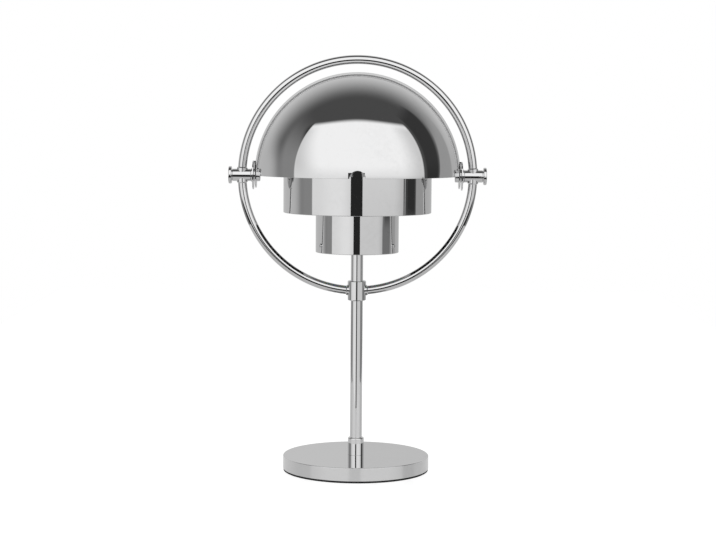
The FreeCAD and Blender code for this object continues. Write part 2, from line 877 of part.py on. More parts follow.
def make_light_hub():
    """The flanged hub on the stem, which carries the deck above and the lower light board below."""
    hub = lathe([
        (stem_hole_radius, hub_low),
        (hub_flange_radius, hub_low),
        (hub_flange_radius, hub_low + hub_flange_thickness),
        (hub_boss_radius, hub_low + hub_flange_thickness),
        (hub_boss_radius, deck_low),
        (stem_hole_radius, deck_low),
    ])
    middle = V(0, 0, hub_screw_level())
    screw_hole = Part.makeCylinder(hub_screw_radius, hub_boss_radius + overrun, middle, BACK)
    return cut_all(hub, [board_lead_hole(hub_low - overrun, deck_low), screw_hole])


def hub_screw_level():
    """The height of the hub's set screw, in the middle of its boss."""
    return (hub_low + hub_flange_thickness + deck_low) / 2


def make_hub_screw():
    """The set screw that locks the hub to the stem."""
    mouth = hub_boss_radius - fit_gap
    return grub_screw(hub_screw_radius - fit_gap, stem_hole_radius, mouth, hub_screw_level())


def make_hub_nut():
    """The nut on the stem's top, which clamps the deck to the hub."""
    nut = hexagon(hub_nut_flats, deck_top, deck_top + hub_nut_height)
    return nut.cut(disc(stem_hole_radius, deck_top - overrun, deck_top + hub_nut_height + overrun))


def make_upper_light_plate():
    """The cup over the hub nut, which carries the upper light board, with posts for its screws."""
    cup = lathe([
        (0, plate_top),
        (plate_radius, plate_top),
        (plate_radius, deck_top),
        (plate_radius - plate_wall, deck_top),
        (plate_radius - plate_wall, plate_top - plate_roof),
        (0, plate_top - plate_roof),
    ])
    post = disc(plate_post_radius, deck_top, plate_top - plate_roof / 2, plate_post_circle)
    thread = disc(plate_screw_radius, deck_top - overrun, deck_top + plate_screw_depth, plate_post_circle)
    cup = join([cup] + around(post, spoke_count, drum_screw_first_angle))
    lead_hole = disc(plate_lead_hole, deck_top, plate_top + overrun)
    threads = around(thread, spoke_count, drum_screw_first_angle)
    return cut_all(cup, threads + [lead_hole, board_lead_hole(deck_top, plate_top + overrun)])


def make_light_plate_screws():
    """The screws from under the deck into the light plate's posts."""
    length = deck_thickness + plate_screw_depth - screw_tip
    screw = pan_screw(plate_screw_radius - fit_gap, length, screw_head_radius, screw_head_height)
    screw = lift(turn(screw, 180, RIGHT), V(plate_post_circle, 0, deck_low))
    return Part.makeCompound(around(screw, spoke_count, drum_screw_first_angle))


def make_upper_led_board():
    """The round light board on the upper plate."""
    top = plate_top + led_board_thickness
    board = disc(plate_radius - led_board_margin, plate_top, top)
    return board.cut(disc(lamp_lead_radius + loose_gap, plate_top - overrun, top + overrun))


def make_lower_led_board():
    """The ring-shaped light board under the hub, clear of the stem."""
    low = hub_low - led_board_thickness
    return pipe(hub_flange_radius - led_board_margin, stem_hole_radius + diffuser_stem_gap, low, hub_low)


def make_chips(low):
    """Light chips on a circle, with their lower faces at a height."""
    chip = block((chip_circle - chip_size / 2, -chip_size / 2, low),
                 (chip_circle + chip_size / 2, chip_size / 2, low + chip_height))
    return Part.makeCompound(around(chip, chip_count))


def make_lead_terminals():
    """The plug blocks on the upper light board and on the control board's front edge."""
    half = terminal_width / 2
    top = plate_top + led_board_thickness
    upper = block((-terminal_length / 2, -half, top), (terminal_length / 2, half, top + terminal_height))
    lower = block((-terminal_length / 2, board_front, board_top),
                  (terminal_length / 2, board_front + terminal_width, board_top + terminal_height))
    side = lift(lower, V(battery_lead_side, 0, 0))
    return Part.makeCompound([upper, lower, side])


# Diffusers

def diffuser_outline(side, corners):
    """A turned outline given as (radius, depth from the drum's open end)."""
    end = pivot_height + side * inner_drum_half_height
    points = [(radius, end - side * depth) for radius, depth in corners]
    return lathe(points)


def make_diffuser_ring(side):
    """The ring screwed inside a drum's end, with a ledge below its disc in both drums."""
    outer = inner_drum_bore - side_gap
    bore = outer - diffuser_ring_wall
    near, far = diffuser_inset, diffuser_inset + diffuser_ring_height
    lip = bore - diffuser_ledge
    if side > 0:
        step = far - diffuser_ledge_thickness
        corners = [(outer, near), (outer, far), (lip, far), (lip, step), (bore, step), (bore, near)]
    else:
        step = near + diffuser_ledge_thickness
        corners = [(outer, near), (outer, far), (bore, far), (bore, step), (lip, step), (lip, near)]
    return cut_all(diffuser_outline(side, corners), diffuser_screw_holes(side))


def make_diffuser(side):
    """The opal disc that lies on its ring's ledge; the lower one has a hole for the stem."""
    radius = inner_drum_bore - side_gap - diffuser_ring_wall - loose_gap
    if side > 0:
        far = diffuser_inset + diffuser_ring_height - diffuser_ledge_thickness
        near, bore = far - diffuser_thickness, 0
    else:
        near, bore = diffuser_inset + diffuser_ledge_thickness, stem_radius + diffuser_stem_gap
        far = near + diffuser_thickness
    return diffuser_outline(side, [(bore, near), (radius, near), (radius, far), (bore, far)])


def make_diffuser_screws(side):
    """The small screws through a drum's wall into its diffuser ring."""
    length = drum_wall + side_gap + diffuser_ring_wall
    screw = pan_screw(diffuser_screw_radius, length,
                      diffuser_screw_head_radius, diffuser_screw_head_height)
    screw = lift(turn(screw, 90, BACK), V(inner_drum_radius, 0, diffuser_screw_level(side)))
    return Part.makeCompound(around(screw, diffuser_screw_count, diffuser_screw_angles[side]))


# Leads

def lead_along(points, bends, radius):
    """A round lead along straight runs joined by arcs, one bend radius for each inner point."""
    edges = []
    start = points[0]
    for before, corner, after, bend in zip(points, points[1:], points[2:], bends):
        into, out = (corner - before).normalize(), (after - corner).normalize()
        half = into.getAngle(out) / 2
        cut = bend * math.tan(half)
        first, last = corner - into * cut, corner + out * cut
        inward = (out - into).normalize()
        middle = corner + inward * (bend / math.cos(half) - bend)
        edges += [Part.makeLine(start, first), Part.Arc(first, middle, last).toShape()]
        start = last
    edges.append(Part.makeLine(start, points[-1]))
    path = Part.Wire(edges)
    section = Part.Wire(Part.makeCircle(radius, points[0], points[1] - points[0]))
    return path.makePipeShell([section], True, False)


def make_lamp_lead():
    """The lead down the stem and across the base to the control board."""
    top = plate_top + led_board_thickness
    points = [V(0, 0, top), V(0, 0, lead_level), V(0, board_front, lead_level)]
    return lead_along(points, [lamp_lead_bend], lamp_lead_radius)


def make_battery_lead():
    """The short lead from the battery to the control board, bowed once round the stem's nut."""
    start = V(battery_lead_side, battery_bay(side_gap)[1][1], lead_level)
    end = V(battery_lead_side, board_front - side_gap, lead_level)
    middle = (start + end) / 2 + V(battery_lead_shift, 0, 0)
    half_run = (end - start).Length / 2
    half_turn = math.atan(battery_lead_shift / half_run)
    bend = half_run / 2 / math.tan(half_turn)
    return lead_along([start, middle, end], [bend], battery_lead_radius)


def make_board_lead():
    """The short lead between the two light boards, through the hub, the deck and the upper plate."""
    return turn(disc(board_lead_radius, hub_low, plate_top, board_lead_circle), board_lead_angle)


nodes = {
    "base_shell": make_base_shell(),
    "base_cover": make_base_cover(),
    "cover_screws": make_cover_screws(),
    "foot_ring": make_foot_ring(),
    "ballast_plate": make_ballast_plate(),
    "battery_pad": make_battery_pad(),
    "battery_pack": make_battery_pack(),
    "control_board": make_control_board(),
    "board_screws": make_board_screws(),
    "charge_socket": make_charge_socket(),
    "power_button": make_power_button(),
    "button_switch": make_button_switch(),
    "stem_tube": make_stem_tube(),
    "stem_ferrule": make_stem_ferrule(),
    "stem_washer": make_stem_washer(),
    "stem_nut": make_stem_nut(),
    "ring_upper": make_ring_arc(0, sleeve_radius, 180, sleeve_radius),
    "ring_lower_left": make_ring_arc(180, sleeve_radius, 270, collar_radius),
    "ring_lower_right": make_ring_arc(270, collar_radius, 360, sleeve_radius),
    "ring_collar": make_ring_collar(),
    "collar_screw": make_collar_screw(),
    "front_shade": make_front_shade(),
    "back_shade": make_back_shade(),
    "outer_drum": make_outer_drum(),
    "drum_deck": make_drum_deck(),
    "deck_screws": make_deck_screws(),
    "upper_drum": make_inner_drum(1),
    "lower_drum": make_inner_drum(-1),
    "drum_screws": make_drum_screws(),
    "drum_nuts": make_drum_nuts(),
    "light_hub": make_light_hub(),
    "hub_screw": make_hub_screw(),
    "hub_nut": make_hub_nut(),
    "upper_light_plate": make_upper_light_plate(),
    "light_plate_screws": make_light_plate_screws(),
    "upper_led_board": make_upper_led_board(),
    "lower_led_board": make_lower_led_board(),
    "upper_led_chips": make_chips(plate_top + led_board_thickness),
    "lower_led_chips": make_chips(hub_low - led_board_thickness - chip_height),
    "lead_terminals": make_lead_terminals(),
    "upper_diffuser_ring": make_diffuser_ring(1),
    "lower_diffuser_ring": make_diffuser_ring(-1),
    "upper_diffuser": make_diffuser(1),
    "lower_diffuser": make_diffuser(-1),
    "upper_diffuser_screws": make_diffuser_screws(1),
    "lower_diffuser_screws": make_diffuser_screws(-1),
    "lamp_lead": make_lamp_lead(),
    "battery_lead": make_battery_lead(),
    "board_lead": make_board_lead(),
}
for side, word in ((-1, "left"), (1, "right")):
    nodes["pivot_sleeve_" + word] = make_pivot_sleeve(side)
    nodes["pivot_pin_" + word] = make_pivot_pin(side)
    nodes["flange_washer_" + word] = make_flange_washer(side)
    nodes["ear_spacer_" + word] = make_ear_spacer(side)
    nodes["pivot_nut_" + word] = make_pivot_nut(side)

os.makedirs("parts", exist_ok=True)
for name, shape in nodes.items():
    if not shape.isValid():
        raise ValueError(name + " is not a valid shape")
    shape.exportStep("parts/" + name + ".step")
    print(name, len(shape.Solids), "solids", round(shape.Volume, 2), "mm3")
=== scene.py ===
"""The looks of a polished chrome table lamp, made around its packed construction model.

Lengths are metres. +Z is up, X runs along the shades' pivots and the front is at -Y.
"""

import json
import math

import bmesh
import bpy
import numpy as np
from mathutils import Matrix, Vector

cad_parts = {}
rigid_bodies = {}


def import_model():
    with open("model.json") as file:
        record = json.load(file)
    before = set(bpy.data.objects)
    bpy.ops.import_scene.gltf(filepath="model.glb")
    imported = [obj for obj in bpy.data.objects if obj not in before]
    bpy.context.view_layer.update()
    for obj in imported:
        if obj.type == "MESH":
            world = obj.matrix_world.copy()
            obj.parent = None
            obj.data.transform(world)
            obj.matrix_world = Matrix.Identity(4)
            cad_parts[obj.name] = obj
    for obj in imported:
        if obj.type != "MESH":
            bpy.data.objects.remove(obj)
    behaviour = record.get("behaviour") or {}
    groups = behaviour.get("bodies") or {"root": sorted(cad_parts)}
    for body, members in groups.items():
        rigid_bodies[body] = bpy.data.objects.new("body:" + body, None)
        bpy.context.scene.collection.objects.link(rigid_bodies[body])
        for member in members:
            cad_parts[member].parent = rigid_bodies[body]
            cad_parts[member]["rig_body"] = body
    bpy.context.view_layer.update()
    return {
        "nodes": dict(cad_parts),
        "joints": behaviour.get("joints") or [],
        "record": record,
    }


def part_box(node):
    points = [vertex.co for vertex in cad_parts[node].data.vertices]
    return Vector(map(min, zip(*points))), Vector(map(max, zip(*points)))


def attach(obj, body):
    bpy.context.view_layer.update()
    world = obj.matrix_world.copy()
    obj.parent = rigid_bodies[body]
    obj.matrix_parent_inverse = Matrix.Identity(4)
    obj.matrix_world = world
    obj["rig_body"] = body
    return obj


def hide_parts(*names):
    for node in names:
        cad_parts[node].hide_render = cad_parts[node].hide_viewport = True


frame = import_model()

bl_info = {
    "name": "Chrome table lamp",
    "version": (1, 0, 0),
    "blender": (4, 5, 0),
    "location": "3D View > Sidebar > Lamp",
    "description": "Makes the finished pieces, materials and studio of a chrome table lamp",
    "category": "Object",
}

SLOT_OF = {part["node"]: part["material_slot"] for part in frame["record"]["subparts"]}
MM = 0.001
PIVOT = np.array([joint for joint in frame["joints"] if joint["name"] == "front_shade_swing"][0]["pos_m"])
BACK = np.array([0.0, 1.0, 0.0])
UP = np.array([0.0, 0.0, 1.0])
WHITE = (1.0, 1.0, 1.0, 1.0)
TINY = 1e-9

# Rounds on corners: a sharp corner still gets the softest edge. Then how near points lie that become
# one, in a new surface and in a copied mesh
SHARP = 0.0
SOFT_EDGE = 0.05 * MM
SMALL_ROUND = 2 * SOFT_EDGE
TIP_ROUND = 3 * SOFT_EDGE
WELD = 0.01 * SOFT_EDGE
MERGE = 0.2 * SOFT_EDGE

# Points round each kind of turned piece. Then the least points of an arc in an outline, the most that
# are added and the radius that adds one, and the longest step along the ring
AROUND = {"wide_drum": 256, "inner_drum": 224, "ear": 128, "pin": 112, "tube": 96, "screw": 72, "ring": 40}
ARC_POINTS, MORE_ARC_POINTS, ARC_STEP = 4, 8.0, 0.1 * MM
RING_STEP = 2.5 * MM


def low(node, axis):
    """The lowest place of a construction node along X, Y or Z (0, 1 or 2)."""
    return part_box(node)[0][axis]


def high(node, axis):
    """The highest place of a construction node along X, Y or Z (0, 1 or 2)."""
    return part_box(node)[1][axis]


SHADE_RADIUS = high("front_shade", 2) - PIVOT[2]
FRONT_EAR_RADIUS = PIVOT[2] - low("front_shade", 2)
BACK_EAR_RADIUS = PIVOT[2] - low("back_shade", 2)
RING_TUBE_RADIUS = high("ring_upper", 1)
RING_RADIUS = high("ring_upper", 2) - PIVOT[2] - RING_TUBE_RADIUS


# Sizes and colours a user would change

def length(name, description, default):
    """A length property, kept in metres."""
    return bpy.props.FloatProperty(name=name, description=description, default=default, min=0.0,
                                   precision=5, unit="LENGTH", subtype="DISTANCE")


def amount(name, description, default):
    """A share between none and all."""
    return bpy.props.FloatProperty(name=name, description=description, default=default,
                                   min=0.0, max=1.0, precision=3, subtype="FACTOR")


def colour(name, description, default):
    """A linear colour."""
    return bpy.props.FloatVectorProperty(name=name, description=description, default=default,
                                         size=3, min=0.0, max=1.0, subtype="COLOR")


class LampShadeSizes(bpy.types.PropertyGroup):
    """Sizes of the two quarter-sphere shades."""
    radius: length("Radius", "Outer radius of the shades' sphere", SHADE_RADIUS)
    wall: length("Wall", "Thickness of the shades' sheet", 1.0 * MM)
    seam_gap: length("Seam gap", "Space between the two shades' straight edges", 0.4 * MM)
    edge_round: length("Edge round", "Polished round along the sheet's edges", 0.16 * MM)
    notch_radius: length("Notch radius", "Half-round notch that clears the stem", 6.7 * MM)
    notch_corner: length("Notch corner", "Round where the notch meets the straight edge", 0.35 * MM)
    front_ear_radius: length("Front ear radius", "Radius of the front shade's round ears", FRONT_EAR_RADIUS)
    back_ear_radius: length("Back ear radius", "Radius of the back shade's round ears", BACK_EAR_RADIUS)
    ear_hole_radius: length("Ear hole radius", "Radius of the pin's hole in an ear", 2.56 * MM)
    ear_gap: length("Ear gap", "Space between an ear and the spacer beside it", 0.1 * MM)
    collar_round: length("Collar round", "Round where the back shade steps out to its ears", 0.3 * MM)


class LampMetalSizes(bpy.types.PropertyGroup):
    """Walls and rounds of the drums, the stem, the ring and the pivots."""
    drum_wall: length("Drum wall", "Thickness of the drums' sheet", 1.0 * MM)
    drum_flange: length("Drum flange", "How far an inner drum's flange reaches inwards", 6.0 * MM)
    drum_lip: length("Drum lip", "Round along the drums' outer rims", 0.45 * MM)
    stem_wall: length("Stem wall", "Thickness of the stem's tube", 1.0 * MM)
    ferrule_round: length("Ferrule round", "Round at the ferrule's top", 1.2 * MM)
    ring_wall: length("Ring wall", "Thickness of the ring's tube", 1.0 * MM)
    washer_round: length("Washer round", "Round on the pivots' washers and spacers", 0.15 * MM)
    nut_bevel: length("Nut bevel", "Bevel on the pivot nuts' inner ends", 0.5 * MM)
    cap_round: length("Cap round", "Round on the pivot caps' rims", 0.8 * MM)
    cap_rim: length("Cap rim", "Width of the flat rim round a cap's dish", 1.1 * MM)
    cap_dish: length("Cap dish", "Depth of the dish in a cap", 0.7 * MM)
    cap_height: length("Cap height", "Height of a pivot's cap with its neck", 3.3 * MM)
    cap_neck: length("Cap neck", "Height of the neck under a cap", 0.6 * MM)
    cap_neck_radius: length("Cap neck radius", "Radius of the neck under a cap", 5.0 * MM)
    pin_radius: length("Pin radius", "Radius of the pivots' pins", 2.5 * MM)
    washer_bore: length("Washer bore", "Radius of the hole in the pivots' washers", 2.55 * MM)
    nut_floor: length("Nut floor", "Thickness of the pivot nuts' closed ends", 1.0 * MM)
    base_bevel: length("Base bevel", "Polished round along the base's top edge", 0.6 * MM)


class LampScrewSizes(bpy.types.PropertyGroup):
    """Sizes of the screws that show."""
    deck_head: length("Deck screw head", "Height of the heads on the wide drum", 1.6 * MM)
    deck_radius: length("Deck screw radius", "Radius of the shanks in the wide drum", 1.5 * MM)
    deck_length: length("Deck screw length", "Length of the shanks in the wide drum", 2.5 * MM)
    diffuser_head: length("Diffuser screw head", "Height of the heads near the drums' rims", 1.0 * MM)
    diffuser_radius: length("Diffuser screw radius", "Radius of the shanks near the drums' rims", 1.2 * MM)
    diffuser_length: length("Diffuser screw length", "Length of the shanks near the drums' rims", 3.6 * MM)
    cover_head: length("Cover screw head", "Radius of the countersunk heads under the base", 2.5 * MM)
    cover_radius: length("Cover screw radius", "Radius of the shanks under the base", 1.4 * MM)
    cover_socket: length("Cover screw socket", "Depth of the sockets under the base", 0.8 * MM)


class LampFinish(bpy.types.PropertyGroup):
    """Colours of the lamp's finishes, and how clear and flat the chrome is."""
    chrome: colour("Chrome", "Colour of the polished plating", (0.68, 0.68, 0.682))
    chrome_gloss: amount("Chrome gloss", "Roughness of the plating at its clearest", 0.016)
    chrome_haze: amount("Chrome haze", "Roughness of the plating where it has been handled", 0.07)
    chrome_wave: length("Chrome wave", "Height of the sheet's slow waves under the polish", 0.012 * MM)
    rubber: colour("Rubber", "Colour of the foot ring", (0.012, 0.012, 0.013))
    powder: colour("Powder coat", "Colour of the base's cover, the foam and the switch", (0.03, 0.03, 0.032))
    raw_steel: colour("Raw steel", "Colour of the ballast plate", (0.40, 0.40, 0.41))
    zinc: colour("Zinc", "Colour of the plated fasteners and the socket", (0.48, 0.49, 0.50))
    aluminium: colour("Aluminium", "Colour of the light hub and plate", (0.70, 0.70, 0.71))
    opal: colour("Opal", "Colour of the diffusers", (0.88, 0.88, 0.86))
    board: colour("Board", "Colour of the control board", (0.03, 0.16, 0.07))
    white: colour("White", "Colour of the light boards and the terminals", (0.80, 0.80, 0.78))
    phosphor: colour("Phosphor", "Colour of the light chips", (0.90, 0.78, 0.35))
    battery_wrap: colour("Battery wrap", "Colour of the battery's sleeve", (0.12, 0.16, 0.30))
    lead: colour("Lead", "Colour of the leads' sleeves", (0.60, 0.60, 0.58))


class LampStudio(bpy.types.PropertyGroup):
    """Where the camera, the table and the dark card in front of the lamp stand."""
    camera_distance: length("Camera distance", "From the lamp's axis to the camera", 1.5725)
    camera_rise: length("Camera rise", "How far the camera stands above the pivots", 0.0522)
    camera_side: length("Camera side", "How far the camera stands to the right", 0.0)
    camera_pitch: bpy.props.FloatProperty(
        name="Camera pitch", description="How far the camera looks down", default=0.085, unit="ROTATION",
        subtype="ANGLE")
    camera_roll: bpy.props.FloatProperty(
        name="Camera roll", description="How far the camera leans about its own line of sight",
        default=-0.0067, unit="ROTATION", subtype="ANGLE")
    camera_lens: bpy.props.FloatProperty(
        name="Lens", description="Focal length on a 36 mm sensor", default=91.52, unit="CAMERA")
    floor_front: length("Floor front", "From the lamp's axis to the table's front edge", 0.34)
    floor_side: length("Floor side", "From the lamp's axis to the table's left and right edges", 0.52)
    floor_back: length("Floor back", "From the lamp's axis to the table's back edge", 1.6)
    floor_body: amount("Floor body", "How much of the studio's light the table gives back", 0.2)
    floor_glow: amount("Floor glow", "Light of the table as the camera sees it", 0.88)
    floor_mirrored: amount("Floor mirrored", "Light of the table as the chrome sees it", 0.50)
    card_distance: length("Card distance", "From the lamp's axis to the dark card", 1.62)
    card_left: length("Card left", "How far the dark card reaches to the left", 0.287)
    card_right: length("Card right", "How far the dark card reaches to the right", 0.217)
    card_top: length("Card top", "How high the dark card reaches", 0.39)


# Outlines and surfaces

def unit(vector):
    """A vector of length one."""
    return vector / np.linalg.norm(vector)


def rounded_outline(corners, closed=True):
    """Points along a polygon whose corners are rounded, and the normal at each.

    A corner is (across, along, radius). It becomes an arc tangent to both its sides: the arc starts
    radius * tan(half the turn) before the corner, and its points are the arc's centre plus or minus
    the radius times the normal, which turns evenly. Normals point to the right of the way along, so
    an outline that runs counter-clockwise has them outwards.
    """
    points, normals = [], []
    count = len(corners)
    for index, (across, along, radius) in enumerate(corners):
        here = np.array([across, along], float)
        before = here - np.array(corners[index - 1][:2])
        after = np.array(corners[(index + 1) % count][:2]) - here
        if not closed and index in (0, count - 1):
            way = unit(after if index == 0 else before)
            points.append(here[None])
            normals.append(np.array([[way[1], -way[0]]]))
            continue
        before, after = unit(before), unit(after)
        bend = math.atan2(before[0] * after[1] - before[1] * after[0], before @ after)
        radius = max(radius, SOFT_EDGE)
        start = here - before * radius * math.tan(abs(bend) / 2)
        hand = math.copysign(1.0, bend)
        centre = start + hand * radius * np.array([-before[1], before[0]])
        steps = ARC_POINTS + int(min(MORE_ARC_POINTS, radius / ARC_STEP))
        angle = math.atan2(-before[0], before[1]) + np.linspace(0.0, bend, steps)
        normal = np.stack([np.cos(angle), np.sin(angle)], axis=1)
        points.append(centre + hand * radius * normal)
        normals.append(normal)
    return np.concatenate(points), np.concatenate(normals)


def tube_outline(inner, outer, start, end, outside, inside=(SHARP, SHARP)):
    """The outline of a tube or washer, with the rounds at the start and end of its two faces."""
    return rounded_outline([(inner, start, inside[0]), (outer, start, outside[0]),
                            (outer, end, outside[1]), (inner, end, inside[1])])


def divided(points, normals, step, closed=True):
    """The same outline with its long runs cut into even pieces no longer than a step."""
    if closed:
        points = np.concatenate([points, points[:1]])
        normals = np.concatenate([normals, normals[:1]])
    run = np.hypot(*np.diff(points, axis=0).T)
    pieces = np.maximum(1, np.ceil(run / step)).astype(int)
    first = np.repeat(np.arange(len(run)), pieces)
    share = (np.arange(pieces.sum()) - np.repeat(np.cumsum(pieces) - pieces, pieces)) / pieces[first]
    share = share[:, None]
    finer = points[first] * (1 - share) + points[first + 1] * share
    slopes = normals[first] * (1 - share) + normals[first + 1] * share
    if not closed:
        finer = np.concatenate([finer, points[-1:]])
        slopes = np.concatenate([slopes, normals[-1:]])
    return finer, slopes


def spokes(axis):
    """Two directions square to an axis and to each other."""
    side = unit(np.cross(axis, BACK if abs(axis[1]) < 0.5 else UP))
    return side, np.cross(axis, side)


def turned(outline, around, axis=UP, centre=(0.0, 0.0, 0.0)):
    """A turned surface: centre + along * axis + radius * (cos angle * side + sin angle * other side).

    The outline gives (radius, along) and its normals. The answer is a grid of points and one of
    normals, with a row for each outline point and a column for each angle.
    """
    points, normals = outline
    side, other = spokes(axis)
    angle = np.arange(around) * (2 * math.pi / around)
    spoke = np.cos(angle)[:, None] * side + np.sin(angle)[:, None] * other
    grid = points[:, 0, None, None] * spoke + points[:, 1, None, None] * np.asarray(axis)
    slopes = normals[:, 0, None, None] * spoke + normals[:, 1, None, None] * np.asarray(axis)
    return grid + np.asarray(centre), slopes


def bent_on_ring(outline, around):
    """A turned surface bent round the ring: the outline's along is the way along the ring's circle.

    At the angle along / ring radius above +X, the tube's middle is pivot + ring radius * outward,
    where outward is (cos, 0, sin) of that angle. The point is the middle + radius * (cos turn *
    outward + sin turn * Y).
    """
    points, normals = outline
    angle = points[:, 1] / RING_RADIUS
    outward = np.stack([np.cos(angle), 0 * angle, np.sin(angle)], axis=1)[:, None]
    onward = np.stack([-np.sin(angle), 0 * angle, np.cos(angle)], axis=1)[:, None]
    turn = np.arange(around) * (2 * math.pi / around)
    spoke = np.cos(turn)[None, :, None] * outward + np.sin(turn)[None, :, None] * BACK
    grid = PIVOT + RING_RADIUS * outward + points[:, 0, None, None] * spoke
    slopes = normals[:, 0, None, None] * spoke + normals[:, 1, None, None] * onward
    return grid, slopes


def grid_quads(rows, columns, rows_close, columns_close):
    """Quads between neighbours of a grid, which may close on itself either way."""
    row = np.arange(rows if rows_close else rows - 1)[:, None]
    column = np.arange(columns if columns_close else columns - 1)[None, :]
    next_row, next_column = (row + 1) % rows, (column + 1) % columns
    corners = [row * columns + column, next_row * columns + column,
               next_row * columns + next_column, row * columns + next_column]
    return np.stack(corners, axis=-1).reshape(-1, 4)


def welded(points, slopes, quads):
    """The same surface with points that lie together made one, so that poles are closed."""
    places = np.round(points / WELD).astype(np.int64)
    _, kept, same = np.unique(places, axis=0, return_index=True, return_inverse=True)
    return points[kept], slopes[kept], same.reshape(-1)[quads]


def faces_outwards(points, quads):
    """The quads, turned over if the volume that they hold comes out negative."""
    a, b, c, d = (points[quads[:, corner]] for corner in range(4))
    volume = np.sum(np.cross(a, b) * c) + np.sum(np.cross(a, c) * d)
    return quads if volume > 0 else quads[:, ::-1]


def mesh_from(name, parts):
    """A smooth mesh from (points, normals, quads) parts, each closed, with its exact normals kept."""
    all_points, all_slopes, faces, start = [], [], [], 0
    for points, slopes, quads in parts:
        points, slopes, quads = welded(points.reshape(-1, 3), slopes.reshape(-1, 3), quads)
        quads = faces_outwards(points, quads)
        real = quads != np.roll(quads, -1, axis=1)
        quads = quads + start
        corners = real.sum(axis=1)
        faces += quads[corners == 4].tolist()
        faces += quads[corners == 3][real[corners == 3]].reshape(-1, 3).tolist()
        all_points.append(points)
        all_slopes.append(slopes)
        start += len(points)
    mesh = bpy.data.meshes.new(name)
    mesh.from_pydata(np.concatenate(all_points).tolist(), [], faces)
    mesh.shade_smooth()
    slopes = np.concatenate(all_slopes)
    slopes = slopes / np.linalg.norm(slopes, axis=1, keepdims=True)
    mesh.normals_split_custom_set_from_vertices(slopes.tolist())
    mesh.update()
    return mesh


def grid_part(surface, rows_close, columns_close=True):
    """A part for mesh_from out of a grid of points and one of normals."""
    points, slopes = surface
    return points, slopes, grid_quads(points.shape[0], points.shape[1], rows_close, columns_close)


def turned_part(outline, around, axis=UP, centre=(0.0, 0.0, 0.0), closed=True):
    """A part for mesh_from, turned from an outline that closes on itself or runs from pole to pole."""
    return grid_part(turned(outline, around, axis, centre), closed)


def finished_piece(node, *parts):
    """Puts a new surface in the place of a construction node."""
    take_place(mesh_from(node + "_finished", parts), node)


def placed(name, data):
    """An object for a mesh or a camera, in the scene."""
    piece = bpy.data.objects.new(name, data)
    bpy.context.scene.collection.objects.link(piece)
    return piece


def take_place(mesh, node):
    """Lets a mesh stand for a construction node, on that node's body and with its finish."""
    piece = placed(mesh.name, mesh)
    coat(mesh, node)
    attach(piece, frame["nodes"][node]["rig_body"])
    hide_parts(node)


def coat(mesh, node):
    """Gives a mesh the finish of a construction node's slot."""
    mesh.materials.clear()
    mesh.materials.append(finish(SLOT_OF[node]))


def values_of(items, name, width=1, kind=float):
    """One attribute of all of a mesh's items, as an array with a row for each item."""
    values = np.empty(len(items) * width, kind)
    items.foreach_get(name, values)
    return values.reshape(-1, width) if width > 1 else values


# Shader nodes

def add_node(tree, kind, inputs, **settings):
    """A node with its settings, and its inputs by name or place linked to a socket or set to a value."""
    node = tree.nodes.new(kind)
    for name, value in settings.items():
        setattr(node, name, value)
    for name, value in inputs.items():
        if isinstance(value, bpy.types.NodeSocket):
            tree.links.new(value, node.inputs[name])
        else:
            node.inputs[name].default_value = value
    return node


def math_node(tree, operation, first, second=0.0):
    """Two links or numbers put together; gives the output."""
    return add_node(tree, "ShaderNodeMath", {0: first, 1: second}, operation=operation).outputs[0]


def times(tree, first, second):
    """The product of two links or numbers."""
    return math_node(tree, "MULTIPLY", first, second)


def plus(tree, first, second):
    """The sum of two links or numbers."""
    return math_node(tree, "ADD", first, second)


def minus(tree, first, second):
    """The difference of two links or numbers."""
    return math_node(tree, "SUBTRACT", first, second)


def noise(tree, place, scale, detail, **inputs):
    """Fractal noise at a place."""
    return add_node(tree, "ShaderNodeTexNoise", {
        "Vector": place, "Scale": scale, "Detail": detail, **inputs}).outputs["Fac"]


def eased(tree, value, start, end, before=0.0, after=1.0):
    """A smooth step from one level to another while the value goes from start to end."""
    inputs = {"Value": value, "From Min": start, "From Max": end, "To Min": before, "To Max": after}
    return add_node(tree, "ShaderNodeMapRange", inputs, interpolation_type="SMOOTHSTEP").outputs["Result"]


def group_tree(name, inputs, output):
    """A new shader node group with number inputs and their defaults, and one number output."""
    tree = bpy.data.node_groups.new(name, "ShaderNodeTree")
    for label, default in inputs.items():
        socket = tree.interface.new_socket(name=label, in_out="INPUT", socket_type="NodeSocketFloat")
        socket.default_value = default
    tree.interface.new_socket(name=output, in_out="OUTPUT", socket_type="NodeSocketFloat")
    return tree, tree.nodes.new("NodeGroupInput").outputs, tree.nodes.new("NodeGroupOutput").inputs


def product(tree, first, second):
    """The product of two vectors or links to them, part by part."""
    return add_node(tree, "ShaderNodeVectorMath", {0: first, 1: second}, operation="MULTIPLY").outputs[0]


GRAIN_ROUGHNESS = 0.6


def grain(tree, place, scale, detail):
    """Fractal noise: grains of a size, longer along the axes with a smaller stretch."""
    return noise(tree, place, scale, detail, Roughness=GRAIN_ROUGHNESS)


# The detail of the broad patches, how much finer their breaks are, and the noise values between which
# patches and breaks fade in
PATCH_DETAIL, PATCH_BREAKS = 3.0, 11.0
BROAD_PATCHES = (0.42, 0.72)
FINE_PATCHES = (0.3, 0.75)


def patches(tree, place, scale, detail):
    """Broad soft patches broken up by finer ones, as left by hands and cloths."""
    broad = noise(tree, place, scale, PATCH_DETAIL)
    broken = noise(tree, place, times(tree, scale, PATCH_BREAKS), detail)
    return times(tree, eased(tree, broad, *BROAD_PATCHES), eased(tree, broken, *FINE_PATCHES))


# How the two families of scratches are turned, how long and wide they are, and the noise values
# between which they start to show
SCRATCH_TURNS = ((0.9, 0.5, 0.0), (-0.6, 2.2, 0.0))
SCRATCH_STRETCH = (1.0, 0.06, 1.0)
SCRATCH_WIDTH = 0.03
SCRATCHED = (0.5, 0.62)


